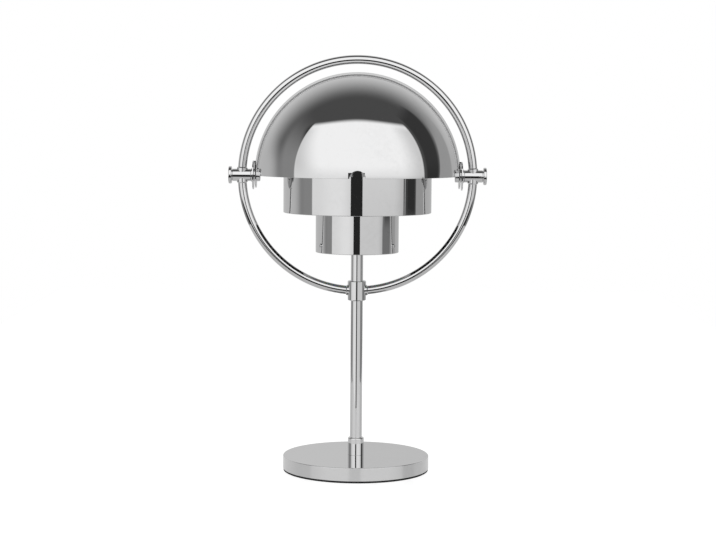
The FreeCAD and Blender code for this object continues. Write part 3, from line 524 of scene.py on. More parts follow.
def hairlines(tree, place, scale, detail):
    """Fine scratches: the edges of long thin cells turned two ways, shown in some places only."""
    lines = None
    for turn in SCRATCH_TURNS:
        leaning = add_node(tree, "ShaderNodeVectorRotate", {"Vector": place, "Rotation": turn},
                           rotation_type="EULER_XYZ")
        thin = product(tree, leaning.outputs[0], SCRATCH_STRETCH)
        shards = add_node(tree, "ShaderNodeTexVoronoi", {"Vector": thin, "Scale": scale},
                          feature="DISTANCE_TO_EDGE")
        edge = eased(tree, shards.outputs["Distance"], 0.0, SCRATCH_WIDTH, 1.0, 0.0)
        lines = edge if lines is None else math_node(tree, "MAXIMUM", lines, edge)
    some = noise(tree, place, scale, detail)
    return times(tree, lines, eased(tree, some, *SCRATCHED))


def turned_rings(tree, place, scale, detail):
    """Marks of turning: noise along the distance from the Z axis and along Z."""
    x, y, z = add_node(tree, "ShaderNodeSeparateXYZ", {0: place}).outputs
    off = math_node(tree, "SQRT", plus(tree, times(tree, x, x), times(tree, y, y)))
    way = times(tree, plus(tree, off, z), scale)
    inputs = {"W": way, "Scale": 1.0, "Detail": detail}
    return add_node(tree, "ShaderNodeTexNoise", inputs, noise_dimensions="1D").outputs["Fac"]


BUBBLE_SMOOTHNESS = 0.35


def cells(tree, place, scale, detail):
    """Rounded bubbles: the smoothed distance to the nearest of scattered points."""
    return add_node(tree, "ShaderNodeTexVoronoi", {
        "Vector": place, "Scale": scale, "Detail": detail, "Smoothness": BUBBLE_SMOOTHNESS},
        feature="SMOOTH_F1").outputs["Distance"]


# The distances from a speck's middle between which it fades out
SPECK_EDGE = (0.12, 0.3)


def specks(tree, place, scale, detail):
    """Small separate dots of uneven strength."""
    dots = add_node(tree, "ShaderNodeTexVoronoi", {"Vector": place, "Scale": scale, "Detail": detail}).outputs
    strength = add_node(tree, "ShaderNodeSeparateColor", {0: dots["Color"]}).outputs[0]
    return times(tree, eased(tree, dots["Distance"], *SPECK_EDGE, 1.0, 0.0), strength)


# The tracks' grid, and the noise values between which they start to show
TRACK_GRID = {"Mortar Size": 0.06, "Mortar Smooth": 0.15, "Brick Width": 1.9, "Row Height": 0.45}
TRACKED = (0.42, 0.5)


def tracks(tree, place, scale, detail):
    """Copper tracks under a board's coat: brick joints, with some runs left out."""
    joints = add_node(tree, "ShaderNodeTexBrick", {"Vector": place, "Scale": scale, **TRACK_GRID})
    some = noise(tree, place, scale, detail)
    return times(tree, joints.outputs["Fac"], eased(tree, some, *TRACKED))


EFFECT_DEFAULTS = {"Scale": 100.0, "Detail": 2.0, "X": 1.0, "Y": 1.0, "Z": 1.0}


def effect_group(name, effect):
    """The node group of an effect at a place in metres on the piece, stretched along X, Y and Z."""
    tree, given, result = group_tree(name, EFFECT_DEFAULTS, "Value")
    place = tree.nodes.new("ShaderNodeTexCoord").outputs["Object"]
    stretch = add_node(tree, "ShaderNodeCombineXYZ", {0: given["X"], 1: given["Y"], 2: given["Z"]})
    place = product(tree, place, stretch.outputs[0])
    tree.links.new(effect(tree, place, given["Scale"], given["Detail"]), result["Value"])
    return tree


def surface_effect(tree, effect, weight, scale, others=None):
    """A weighted surface effect in a material, through a node group that is made once."""
    name = "lamp_" + effect.__name__
    group = bpy.data.node_groups.get(name) or effect_group(name, effect)
    inputs = {"Scale": scale, **(others or {})}
    node = add_node(tree, "ShaderNodeGroup", inputs, node_tree=group, label=effect.__name__)
    return times(tree, node.outputs["Value"], weight)


def effect_sum(tree, parts):
    """The sum of weighted effects, given as (effect, weight, scale) and other inputs if there are any."""
    total = None
    for part in parts:
        value = surface_effect(tree, *part)
        total = value if total is None else plus(tree, total, value)
    return total


# Materials

def finish(slot):
    """The material of a slot, made the first time it is asked for."""
    name = "lamp_" + slot
    ready = bpy.data.materials.get(name)
    return ready or make_finish(name, finish_recipe(slot, bpy.context.scene.lamp_finish))


def make_finish(name, recipe):
    """A material from its recipe.

    The recipe has a colour, what two tones take of it and the effects that go from one to the other,
    the clearest and the dullest roughness and their effects, the relief's depth in metres and its
    effects, and other shader settings. An effect is (effect, weight, grains for each metre), and its
    other inputs if there are any.
    """
    colour, shares, tone_by, (clear, dull), gloss_by, depth, relief_by, settings = recipe
    material, tree, shader = new_material(name, settings)
    first, second = ((*np.minimum(1.0, np.multiply(colour, share)), 1.0) for share in shares)
    tone = add_node(tree, "ShaderNodeMix", {
        "Factor": effect_sum(tree, tone_by), "A": first, "B": second}, data_type="RGBA")
    gloss = add_node(tree, "ShaderNodeMapRange", {
        "Value": effect_sum(tree, gloss_by), "To Min": clear, "To Max": dull})
    relief = add_node(tree, "ShaderNodeBump", {"Height": effect_sum(tree, relief_by), "Distance": depth})
    tree.links.new(tone.outputs["Result"], shader.inputs["Base Color"])
    tree.links.new(gloss.outputs["Result"], shader.inputs["Roughness"])
    tree.links.new(relief.outputs["Normal"], shader.inputs["Normal"])
    return material


def new_material(name, settings):
    """A material with its tree and its shader, whose own inputs are set."""
    material = bpy.data.materials.new(name)
    material.use_nodes = True
    shader = material.node_tree.nodes["Principled BSDF"]
    for label, value in settings.items():
        shader.inputs[label].default_value = value
    return material, material.node_tree, shader


def finish_recipe(slot, looks):
    """The recipe of a slot's material, as make_finish reads it."""
    metal = {"Metallic": 1.0}
    recipes = {
        "polished_chrome": (
            looks.chrome, (1.0, 0.94), [(patches, 0.7, 24), (hairlines, 0.5, 210)],
            (looks.chrome_gloss, looks.chrome_haze),
            [(patches, 0.6, 38, {"Detail": 4.0}), (hairlines, 0.8, 160), (specks, 0.3, 420)],
            looks.chrome_wave, [(grain, 1.0, 26, {"Detail": 0.0}), (grain, 0.012, 900)], metal),
        "black_steel": (
            looks.powder, (1.0, 1.9), [(patches, 0.8, 45), (specks, 0.5, 900)], (0.38, 0.62),
            [(grain, 0.7, 300), (patches, 0.5, 60)], 0.05 * MM, [(cells, 0.6, 1100), (grain, 0.5, 2600)],
            {"Specular IOR Level": 0.45}),
        "raw_steel": (
            looks.raw_steel, (1.0, 0.55), [(grain, 0.6, 1400, {"Y": 0.03}), (patches, 0.7, 70)],
            (0.26, 0.55), [(grain, 0.8, 2400, {"Y": 0.04}), (patches, 0.4, 120)], 0.012 * MM,
            [(grain, 1.0, 3000, {"Y": 0.03}), (specks, -0.6, 500)], metal),
        "zinc_screws": (
            looks.zinc, (1.0, (1.05, 1.0185, 0.903)), [(grain, 0.9, 420), (patches, 0.5, 900)], (0.2, 0.42),
            [(grain, 0.9, 2600), (patches, 0.4, 300)], 0.008 * MM, [(grain, 1.0, 5200), (cells, 0.3, 2500)],
            metal),
        "socket_steel": (
            looks.zinc, (1.0, 0.8), [(grain, 0.9, 2200, {"X": 0.05}), (hairlines, 0.4, 900)], (0.22, 0.4),
            [(grain, 1.0, 4200, {"X": 0.04})], 0.006 * MM, [(grain, 1.0, 6000, {"X": 0.04})], metal),
        "black_rubber": (
            looks.rubber, (1.0, 2.4), [(patches, 0.8, 80), (specks, 0.5, 1300)], (0.6, 0.85),
            [(grain, 0.9, 260)], 0.06 * MM, [(grain, 0.8, 2200), (cells, 0.5, 1500)],
            {"Specular IOR Level": 0.3}),
        # The foam's tone follows the same cells as its relief, darker in the pits and lighter on the walls
        # between them: painted shade in the pores.
        "black_foam": (
            looks.powder, (0.6, 2.6), [(cells, 1.1, 1500, {"Detail": 1.0})], (0.8, 0.95),
            [(grain, 0.8, 400)], 0.35 * MM, [(cells, 1.0, 1500, {"Detail": 1.0})],
            {"Specular IOR Level": 0.2}),
        "battery_wrap": (
            looks.battery_wrap, (1.0, 0.6), [(patches, 0.7, 60), (grain, 0.3, 700, {"X": 0.1})],
            (0.18, 0.36), [(grain, 0.8, 90), (hairlines, 0.4, 300)], 0.25 * MM,
            [(grain, 1.0, 150, {"X": 0.12, "Detail": 3.0})], {"Coat Weight": 0.5, "Coat Roughness": 0.12}),
        "green_board": (
            looks.board, (1.0, 2.1), [(tracks, 0.8, 260), (specks, 0.5, 700)], (0.2, 0.4),
            [(grain, 0.8, 500)], 0.05 * MM, [(tracks, 1.0, 260), (grain, 0.15, 2200)],
            {"Coat Weight": 0.4, "Coat Roughness": 0.15}),
        "white_board": (
            looks.white, (1.0, 0.84), [(tracks, 0.7, 210), (patches, 0.4, 90)], (0.25, 0.45),
            [(grain, 0.8, 600)], 0.04 * MM, [(tracks, 1.0, 210), (grain, 0.15, 2400)], {"Coat Weight": 0.2}),
        "light_chips": (
            looks.phosphor, (1.0, 0.72), [(specks, 0.8, 5200), (grain, 0.4, 1500)], (0.12, 0.28),
            [(grain, 0.7, 1200)], 0.03 * MM, [(cells, 0.6, 4200), (grain, 0.4, 800)],
            {"Coat Weight": 0.6, "Coat Roughness": 0.08}),
        "black_plastic": (
            looks.powder, (0.8, 1.5), [(grain, 0.7, 900), (patches, 0.4, 200)], (0.35, 0.55),
            [(grain, 0.9, 1500)], 0.015 * MM, [(cells, 0.5, 4000), (grain, 0.6, 5200)], {}),
        "white_plastic": (
            looks.white, (1.0, 0.9), [(grain, 0.7, 700), (specks, 0.3, 2200)], (0.32, 0.5),
            [(grain, 0.9, 1500)], 0.015 * MM, [(cells, 0.5, 3800), (grain, 0.6, 5000)],
            {"Subsurface Weight": 0.15, "Subsurface Scale": 1.0 * MM}),
        "hub_aluminium": (
            looks.aluminium, (1.0, 0.82), [(turned_rings, 0.8, 3200), (patches, 0.4, 110)], (0.2, 0.4),
            [(turned_rings, 0.8, 2500), (hairlines, 0.5, 500)], 0.012 * MM,
            [(turned_rings, 1.0, 4200, {"Detail": 1.0})], metal),
        "opal_acrylic": (
            looks.opal, (1.0, 0.95), [(patches, 0.5, 50), (specks, 0.4, 1600)], (0.14, 0.3),
            [(grain, 0.6, 160), (hairlines, 0.5, 260)], 0.02 * MM,
            [(grain, 1.0, 60, {"Detail": 1.0}), (grain, 0.03, 2500)],
            {"Subsurface Weight": 0.6, "Subsurface Scale": 4.0 * MM, "IOR": 1.49}),
        "lead_sleeve": (
            looks.lead, (1.0, 0.78), [(grain, 0.6, 500), (patches, 0.5, 140)], (0.45, 0.7),
            [(grain, 0.9, 700)], 0.04 * MM, [(cells, 0.6, 2200), (grain, 0.6, 3000, {"Z": 0.2})],
            {"Sheen Weight": 0.15, "Sheen Roughness": 0.5}),
    }
    return recipes[slot]


# Shades

# Points along the sheet from the notch to an ear and up each face, along the notch and its corner, and
# over an edge
SHEET_COLUMNS, SHEET_ROWS = 90, 64
NOTCH_POINTS, CORNER_POINTS, EDGE_POINTS = 22, 7, 4
NOTCH_STEP = 1.5 * MM


def notch_line(sizes):
    """The foot's line from the notch's middle to where it runs straight: (along, height) and normals."""
    notch, corner, gap = sizes.notch_radius, sizes.notch_corner, sizes.seam_gap / 2
    turn_off = math.sqrt((notch + corner) ** 2 - (gap + corner) ** 2)
    meet = math.atan2(gap + corner, turn_off)
    arc = np.linspace(math.pi / 2, meet, NOTCH_POINTS)
    arc_way = np.stack([np.cos(arc), np.sin(arc)], axis=1)
    arc = np.linspace(math.pi + meet, 1.5 * math.pi, CORNER_POINTS)[1:]
    corner_way = np.stack([np.cos(arc), np.sin(arc)], axis=1)
    line = np.concatenate([notch * arc_way, (turn_off, gap + corner) + corner * corner_way])
    return line, np.concatenate([-arc_way, corner_way])


def fillet_between(sphere, tube, round_radius):
    """The round between a sphere about the pivots' middle and a tube about the pivots.

    Its middle lies on the sphere grown by the round, at the tube's radius grown by the round. Its
    points run from the sphere to the tube, given as (along the pivot, off it), with the directions
    from its middle to them.
    """
    off = tube + round_radius
    middle = np.array([math.sqrt((sphere + round_radius) ** 2 - off ** 2), off])
    angle = np.linspace(math.atan2(-middle[1], -middle[0]), -math.pi / 2, CORNER_POINTS)
    way = np.stack([np.cos(angle), np.sin(angle)], axis=1)
    return middle + round_radius * way, way


def ear_span(sizes, front):
    """Where a shade's ears start and end along the pivots, to each side of the spacer."""
    if front:
        end = low("ear_spacer_right", 0) - sizes.ear_gap
        return end - sizes.wall, end
    start = high("ear_spacer_right", 0) + sizes.ear_gap
    return start, start + sizes.wall


def shade_face(sizes, near, sphere, step, ear, sign):
    """One face of a sheet from its middle to its right end: (along, off) and its outline's normals.

    The face is an arc of the sphere, with the notch's own places first. Without a step it ends at
    the ear. With one it has a fillet and then a straight tube of the step's radius into the ear.
    """
    if step is None:
        last = math.acos((ear[0] + ear[1]) / (2 * sizes.radius - sizes.wall))
    else:
        curve, way = fillet_between(sphere, step, sizes.collar_round)
        last = math.acos(curve[0, 0] / math.hypot(*curve[0]))
    first = math.acos((near[-1] + NOTCH_STEP) / sphere)
    along = np.concatenate([near, sphere * np.cos(np.linspace(first, last, SHEET_COLUMNS))])
    off = np.sqrt(sphere ** 2 - along ** 2)
    slope = sign * np.stack([along, off], axis=1) / sphere
    if step is not None:
        along = np.concatenate([along, curve[1:, 0], [ear[0] + 2 * SOFT_EDGE]])
        off = np.concatenate([off, curve[1:, 1], [step]])
        slope = np.concatenate([slope, -sign * way[1:], [[0.0, float(sign)]]])
    return along, off, slope


class ShadeSheet:
    """The sheet of a quarter shade, as columns square to the pivots from its middle to the right.

    In a column the sheet's faces are arcs about the pivots: the point is (along, -off * cos lift,
    off * sin lift) for the front shade. An edge's round takes a point in by round * (1 - cos turn)
    and back from the edge by round * (1 - sin turn).
    """

    def __init__(self, sizes, front):
        self.wall, self.rounding, self.gap = sizes.wall, sizes.edge_round, sizes.seam_gap / 2
        self.spheres = (sizes.radius, sizes.radius - sizes.wall)
        tube = sizes.back_ear_radius
        steps = (None, None) if front else (tube - SOFT_EDGE, tube - sizes.wall)
        line, way = notch_line(sizes)
        ear = ear_span(sizes, front)
        self.faces = [shade_face(sizes, line[:, 0], sphere, step, ear, sign)
                      for sphere, step, sign in zip(self.spheres, steps, (1, -1))]
        columns = len(self.faces[0][0])
        self.on_ball = (np.arange(columns) < len(line))[:, None]
        self.foot_height = np.full(columns, self.gap)
        self.foot_height[:len(line)] = line[:, 1]
        self.foot_way = np.tile([0.0, 0.0, -1.0], (columns, 1))
        self.foot_way[:len(line), ::2] = way

    def at_depth(self, depth):
        """Each column's place along the pivots and its squared distance from their middle."""
        share = depth / self.wall
        along, off = (self.faces[0][part] * (1 - share) + self.faces[1][part] * share for part in (0, 1))
        return along, along ** 2 + off ** 2

    def foot_row(self, depth, back):
        """The points at a depth in the sheet and back from the foot's line."""
        along, reach = self.at_depth(depth)
        x = along - back * self.foot_way[:, 0]
        z = self.foot_height - back * self.foot_way[:, 2]
        return np.stack([x, -np.sqrt(reach - x ** 2 - z ** 2), z], axis=1)

    def top_row(self, depth, back):
        """The points at a depth in the sheet and back from the seam, which lies across Y."""
        nearest = 0.0 if depth < self.wall / 2 else self.wall
        x = self.foot_row(nearest, self.rounding)[:, 0]
        y = np.full(len(x), -(self.gap + back))
        return np.stack([x, y, np.sqrt(self.at_depth(depth)[1] - x ** 2 - y ** 2)], axis=1)

    def face_rows(self, which):
        """The rows of the outer (0) or inner (1) face, from the foot up to the seam."""
        start = self.foot_row(which * self.wall, self.rounding)
        end = self.top_row(which * self.wall, self.rounding)
        off = np.hypot(start[:, 1], start[:, 2])
        first, last = (np.arctan2(row[:, 2], -row[:, 1]) for row in (start, end))
        lift = first + (last - first) * np.linspace(0.0, 1.0, SHEET_ROWS)[:, None]
        x = np.broadcast_to(start[:, 0], lift.shape)
        return list(np.stack([x, -off * np.cos(lift), off * np.sin(lift)], axis=2))

    def face_normal(self, points, which):
        """The outer (0) or inner (1) face's normals at points of it."""
        slope = self.faces[which][2]
        ball = (1 - 2 * which) * points / self.spheres[which]
        off = np.hypot(points[:, 1], points[:, 2])[:, None]
        turned_way = np.concatenate([slope[:, :1], slope[:, 1:] * points[:, 1:] / off], axis=1)
        return np.where(self.on_ball, ball, turned_way)

    def grid(self):
        """Points and normals: up the outer face, over the seam, down the inner face, round the foot."""
        turns = np.linspace(0.0, math.pi / 2, EDGE_POINTS)[1:]
        edge = [(self.rounding * (1 - math.cos(turn)), self.rounding * (1 - math.sin(turn)), turn)
                for turn in turns]
        rows, slopes = [], []

        def add(points, which, turn, outwards):
            rows.append(points)
            slopes.append(math.cos(turn) * self.face_normal(points, which) + math.sin(turn) * outwards)

        for row in self.face_rows(0):
            add(row, 0, 0.0, BACK)
        for depth, back, turn in edge:
            add(self.top_row(depth, back), 0, turn, BACK)
        for depth, back, turn in edge[::-1]:
            add(self.top_row(self.wall - depth, back), 1, turn, BACK)
        for row in self.face_rows(1)[::-1]:
            add(row, 1, 0.0, BACK)
        for depth, back, turn in edge:
            add(self.foot_row(self.wall - depth, back), 1, turn, self.foot_way)
        for depth, back, turn in edge[::-1]:
            add(self.foot_row(depth, back), 0, turn, self.foot_way)
        return np.stack(rows), np.stack(slopes)


def make_shade_surface(sizes, front):
    """A quarter shade's sheet as one grid, mirrored to the left, and turned about for the back."""
    points, normals = ShadeSheet(sizes, front).grid()
    mirror = np.array([-1.0, 1.0, 1.0])
    points = np.concatenate([points[:, :0:-1] * mirror, points], axis=1)
    normals = np.concatenate([normals[:, :0:-1] * mirror, normals], axis=1)
    about = np.array([1.0, 1.0 if front else -1.0, 1.0])
    return points * about + PIVOT, normals * about


def make_ear(sizes, front, side):
    """A round ear: a washer about the pivots with softly rounded edges."""
    start, end = ear_span(sizes, front)
    ear_radius = sizes.front_ear_radius if front else sizes.back_ear_radius
    rounds = (sizes.edge_round, sizes.edge_round)
    outline = tube_outline(sizes.ear_hole_radius, ear_radius, start, end, rounds, rounds)
    return turned_part(outline, AROUND["ear"], np.array([float(side), 0.0, 0.0]), PIVOT)


class LampOperator:
    """What the lamp's operators share."""
    bl_options = {"REGISTER", "UNDO"}


class LAMP_OT_shades(LampOperator, bpy.types.Operator):
    """Make the two quarter-sphere shades"""
    bl_idname = "lamp.shades"
    bl_label = "Shades"

    def execute(self, context):
        sizes = context.scene.lamp_shades
        for node, front in (("front_shade", True), ("back_shade", False)):
            sheet = grid_part(make_shade_surface(sizes, front), True, False)
            finished_piece(node, sheet, *(make_ear(sizes, front, side) for side in (-1, 1)))
        return {"FINISHED"}


# Drums

class LAMP_OT_drums(LampOperator, bpy.types.Operator):
    """Make the wide drum and the two inner drums"""
    bl_idname = "lamp.drums"
    bl_label = "Drums"

    def execute(self, context):
        sizes = context.scene.lamp_metal
        wall, lip = sizes.drum_wall, sizes.drum_lip
        rim, bottom, top = high("outer_drum", 0), low("outer_drum", 2), high("outer_drum", 2)
        outline = tube_outline(rim - wall, rim, bottom, top, (lip, lip))
        finished_piece("outer_drum", turned_part(outline, AROUND["wide_drum"]))
        for node, open_end, seat in (("lower_drum", low, high), ("upper_drum", high, low)):
            rim = high(node, 0)
            end, flange = open_end(node, 2), seat(node, 2)
            inner = flange - math.copysign(wall, flange - end)
            reach = rim - wall - sizes.drum_flange
            corners = [
                (rim, end, lip), (rim, flange, SMALL_ROUND), (reach, flange, SHARP),
                (reach, inner, SHARP), (rim - wall, inner, lip), (rim - wall, end, SHARP)]
            outline = rounded_outline(corners if flange > end else corners[::-1])
            finished_piece(node, turned_part(outline, AROUND["inner_drum"]))
        return {"FINISHED"}


# Stem and ring

class LAMP_OT_stem(LampOperator, bpy.types.Operator):
    """Make the stem's tube and the ferrule at its foot"""
    bl_idname = "lamp.stem"
    bl_label = "Stem"

    def execute(self, context):
        sizes = context.scene.lamp_metal
        radius = high("stem_tube", 0)
        bottom, top = low("stem_tube", 2), high("stem_tube", 2)
        outline = tube_outline(radius - sizes.stem_wall, radius, bottom, top, (SHARP, SMALL_ROUND))
        finished_piece("stem_tube", turned_part(outline, AROUND["tube"]))
        bottom, top = low("stem_ferrule", 2), high("stem_ferrule", 2)
        outer = high("stem_ferrule", 0)
        outline = tube_outline(radius + SOFT_EDGE, outer, bottom, top,
                               (TIP_ROUND, sizes.ferrule_round), (SHARP, SMALL_ROUND))
        finished_piece("stem_ferrule", turned_part(outline, AROUND["tube"]))
        return {"FINISHED"}


def ring_angle(node, end):
    """The angle about the pivots' middle, above +X, at which a ring tube starts or ends."""
    places = values_of(frame["nodes"][node].data.vertices, "co", 3) - PIVOT
    angle = np.degrees(np.arctan2(places[:, 2], places[:, 0]))
    if node == "ring_lower_left":
        angle = angle % 360
    return math.radians(angle.min() if end == 0 else angle.max())


class LAMP_OT_ring(LampOperator, bpy.types.Operator):
    """Make the three bent tubes of the ring"""
    bl_idname = "lamp.ring"
    bl_label = "Ring"

    def execute(self, context):
        sizes = context.scene.lamp_metal
        radius = RING_TUBE_RADIUS
        for node in ("ring_upper", "ring_lower_left", "ring_lower_right"):
            start, end = (RING_RADIUS * ring_angle(node, side) for side in (0, 1))
            outline = tube_outline(radius - sizes.ring_wall, radius, start, end, (SHARP, SHARP))
            outline = divided(*outline, step=RING_STEP)
            finished_piece(node, grid_part(bent_on_ring(outline, AROUND["ring"]), True))
        return {"FINISHED"}


# Pivots

class LAMP_OT_pivots(LampOperator, bpy.types.Operator):
    """Make the caps, washers, spacers and nuts on the two pivots"""
    bl_idname = "lamp.pivots"
    bl_label = "Pivots"

    def execute(self, context):
        sizes = context.scene.lamp_metal
        for word, side in (("left", -1), ("right", 1)):
            axis = np.array([float(side), 0.0, 0.0])

            def span(node):
                """Where a node starts and ends along its pivot, outwards, and its radius."""
                ends = sorted(abs(place(node + word, 0)) for place in (low, high))
                return ends[0], ends[1], high(node + word, 2) - PIVOT[2]

            def lathe(node, outline, closed, around=AROUND["tube"]):
                """Puts a piece turned about the pivot in a node's place."""
                finished_piece(node + word, turned_part(outline, around, axis, PIVOT, closed))

            for node in ("flange_washer_", "ear_spacer_"):
                start, end, radius = span(node)
                rounds = (sizes.washer_round, sizes.washer_round)
                lathe(node, tube_outline(sizes.washer_bore, radius, start, end, rounds), True)
            start, end, radius = span("pivot_nut_")
            floor, bevel, bore = sizes.nut_floor, sizes.nut_bevel, sizes.washer_bore
            lathe("pivot_nut_", rounded_outline([
                (0.0, start, SHARP), (radius - bevel, start, SHARP), (radius, start + bevel, SHARP),
                (radius, end, SHARP), (bore, end, SHARP), (bore, start + floor, SHARP),
                (0.0, start + floor, SHARP)], closed=False), False)
            start, end, radius = span("pivot_pin_")
            neck = end - sizes.cap_height
            head, pin = neck + sizes.cap_neck, sizes.pin_radius
            dish = radius - sizes.cap_rim
            lathe("pivot_pin_", rounded_outline([
                (0.0, start, SHARP), (pin, start, SHARP), (pin, neck, SHARP),
                (sizes.cap_neck_radius, neck, SHARP), (sizes.cap_neck_radius, head, SHARP),
                (radius, head, sizes.cap_round), (radius, end, sizes.cap_round),
                (dish, end, TIP_ROUND), (0.0, end - sizes.cap_dish, SHARP)],
                closed=False), False, AROUND["pin"])
        return {"FINISHED"}


# Screws

DECK_SCREW_AZIMUTHS = (90.0, 210.0, 330.0)
DIFFUSER_SCREW_AZIMUTHS = {"upper_diffuser_screws": (30.0, 150.0, 270.0),
                           "lower_diffuser_screws": (90.0, 210.0, 330.0)}
COVER_SCREW_SIDES = ((1, 1), (-1, 1), (-1, -1), (1, -1))

# The drivers' recesses, as shares of a head's radius: a cross bar's half width, the width of its
# sides, its reach and the length of its sloping end, and a hexagon's half width and sides
CROSS_WIDTH, CROSS_SIDE, CROSS_REACH, CROSS_SLOPE = 0.2, 0.08, 0.66, 0.3
HEXAGON_WIDTH, HEXAGON_SIDE = 0.6, 0.1

# A pan head's round and its cross's depth as shares of its height, and a socket's depth as a share of
# the set screw's length. Then how far the recesses are turned from screw to screw, the rings across a
# screw's end and the step that its slope is taken over
PAN_ROUND, CROSS_DEPTH, SOCKET_DEPTH = 0.48, 0.62, 0.5
CROSS_TURN, SOCKET_TURN, COVER_TURN = 0.7, 0.3, 0.4
END_RINGS, SLOPE_STEP = 24, 0.01


def eased_share(share):
    """A smooth step of a whole array: 0 below 0, 1 above 1."""
    share = np.clip(share, 0.0, 1.0)
    return share * share * (3.0 - 2.0 * share)


def cross_recess(across, along):
    """Depth of a cross for a driver, 0 to 1: two bars with steep sides and sloping ends."""
    def bar(one, other):
        return (eased_share((CROSS_WIDTH - np.abs(other)) / CROSS_SIDE)
                * eased_share((CROSS_REACH - np.abs(one)) / CROSS_SLOPE))
    return np.maximum(bar(across, along), bar(along, across))


def hexagon_recess(across, along):
    """Depth of a six-sided socket, 0 to 1: the distance to the nearest flat with a steep side."""
    sixth = np.mod(np.arctan2(along, across), math.pi / 3) - math.pi / 6
    return eased_share((HEXAGON_WIDTH - np.hypot(across, along) * np.cos(sixth)) / HEXAGON_SIDE)


def screw_part(corners, axis, centre, recess, depth, twist):
    """A turned screw whose flat end has a driver's recess sunk into it.

    The end's points go back along the axis by depth * recess(across, along), with both measured in
    head radii, and its normal leans by the slope of that.
    """
    radius, end = corners[-2][0], corners[-1][1]
    outline = divided(*rounded_outline(corners, closed=False), step=radius / END_RINGS, closed=False)
    grid, slopes = turned(outline, AROUND["screw"], axis, centre)
    row = outline[0][:, 1] > end - TINY
    angle = twist + np.arange(AROUND["screw"]) * (2 * math.pi / AROUND["screw"])
    share = outline[0][row, :1] / radius
    across, along = share * np.cos(angle), share * np.sin(angle)
    step = SLOPE_STEP
    lean = [(recess(across + step, along) - recess(across - step, along)) / (2 * step),
            (recess(across, along + step) - recess(across, along - step)) / (2 * step)]
    side, other = spokes(axis)
    lean = [math.cos(twist) * lean[0] + math.sin(twist) * lean[1],
            math.cos(twist) * lean[1] - math.sin(twist) * lean[0]]
    grid[row] -= depth * recess(across, along)[..., None] * axis
    slopes[row] += depth / radius * (lean[0][..., None] * side + lean[1][..., None] * other)
    return grid_part((grid, slopes), False)


def pan_screws(node, azimuths, head_height, shank_radius, shank_length):
    """Pan-headed screws that point at the lamp's axis, each with a cross turned its own way."""
    reach = max(-low(node, 1), high(node, 1))
    level = (low(node, 2) + high(node, 2)) / 2
    radius = (high(node, 2) - low(node, 2)) / 2
    seat = reach - head_height
    corners = [
        (0.0, seat - shank_length, SHARP), (shank_radius, seat - shank_length, TIP_ROUND),
        (shank_radius, seat, SHARP), (radius, seat, SHARP), (radius, reach, PAN_ROUND * head_height),
        (0.0, reach, SHARP)]
    parts = []
    for index, azimuth in enumerate(azimuths):
        angle = math.radians(azimuth)
        axis = np.array([math.cos(angle), math.sin(angle), 0.0])
        parts.append(screw_part(corners, axis, level * UP, cross_recess,
                                CROSS_DEPTH * head_height, CROSS_TURN * index))
    finished_piece(node, *parts)


class LAMP_OT_screws(LampOperator, bpy.types.Operator):
    """Make the screws that show, with crosses and sockets for a driver"""
    bl_idname = "lamp.screws"
    bl_label = "Screws"

    def execute(self, context):
        sizes = context.scene.lamp_screws
        pan_screws("deck_screws", DECK_SCREW_AZIMUTHS, sizes.deck_head, sizes.deck_radius, sizes.deck_length)
        for node, azimuths in DIFFUSER_SCREW_AZIMUTHS.items():
            pan_screws(node, azimuths, sizes.diffuser_head, sizes.diffuser_radius, sizes.diffuser_length)
        node = "collar_screw"
        radius = high(node, 0)
        corners = [(0.0, low(node, 1), SHARP), (radius, low(node, 1), SMALL_ROUND),
                   (radius, high(node, 1), SMALL_ROUND), (0.0, high(node, 1), SHARP)]
        level = (low(node, 2) + high(node, 2)) / 2
        socket = SOCKET_DEPTH * (high(node, 1) - low(node, 1))
        finished_piece(node, screw_part(corners, BACK, level * UP, hexagon_recess, socket, SOCKET_TURN))
        node = "cover_screws"
        head, shank = sizes.cover_head, sizes.cover_radius
        circle = high(node, 0) - head
        face, tip = low(node, 2), high(node, 2)
        corners = [(0.0, -tip, SHARP), (shank, -tip, TIP_ROUND), (shank, shank - head - face, SHARP),
                   (head, -face, SHARP), (0.0, -face, SHARP)]
        parts = []
        for x, y in COVER_SCREW_SIDES:
            centre = np.array([x * circle, y * circle, 0.0])
            parts.append(screw_part(corners, -UP, centre, hexagon_recess, sizes.cover_socket,
                                    COVER_TURN * x + y))
        finished_piece(node, *parts)
        return {"FINISHED"}


# Base

# The cosine of the most that a turned face's level part leans from its spoke, and the least level part
SPOKE_LEAN = math.cos(math.radians(4))
LEVEL_LEAST = 1e-6


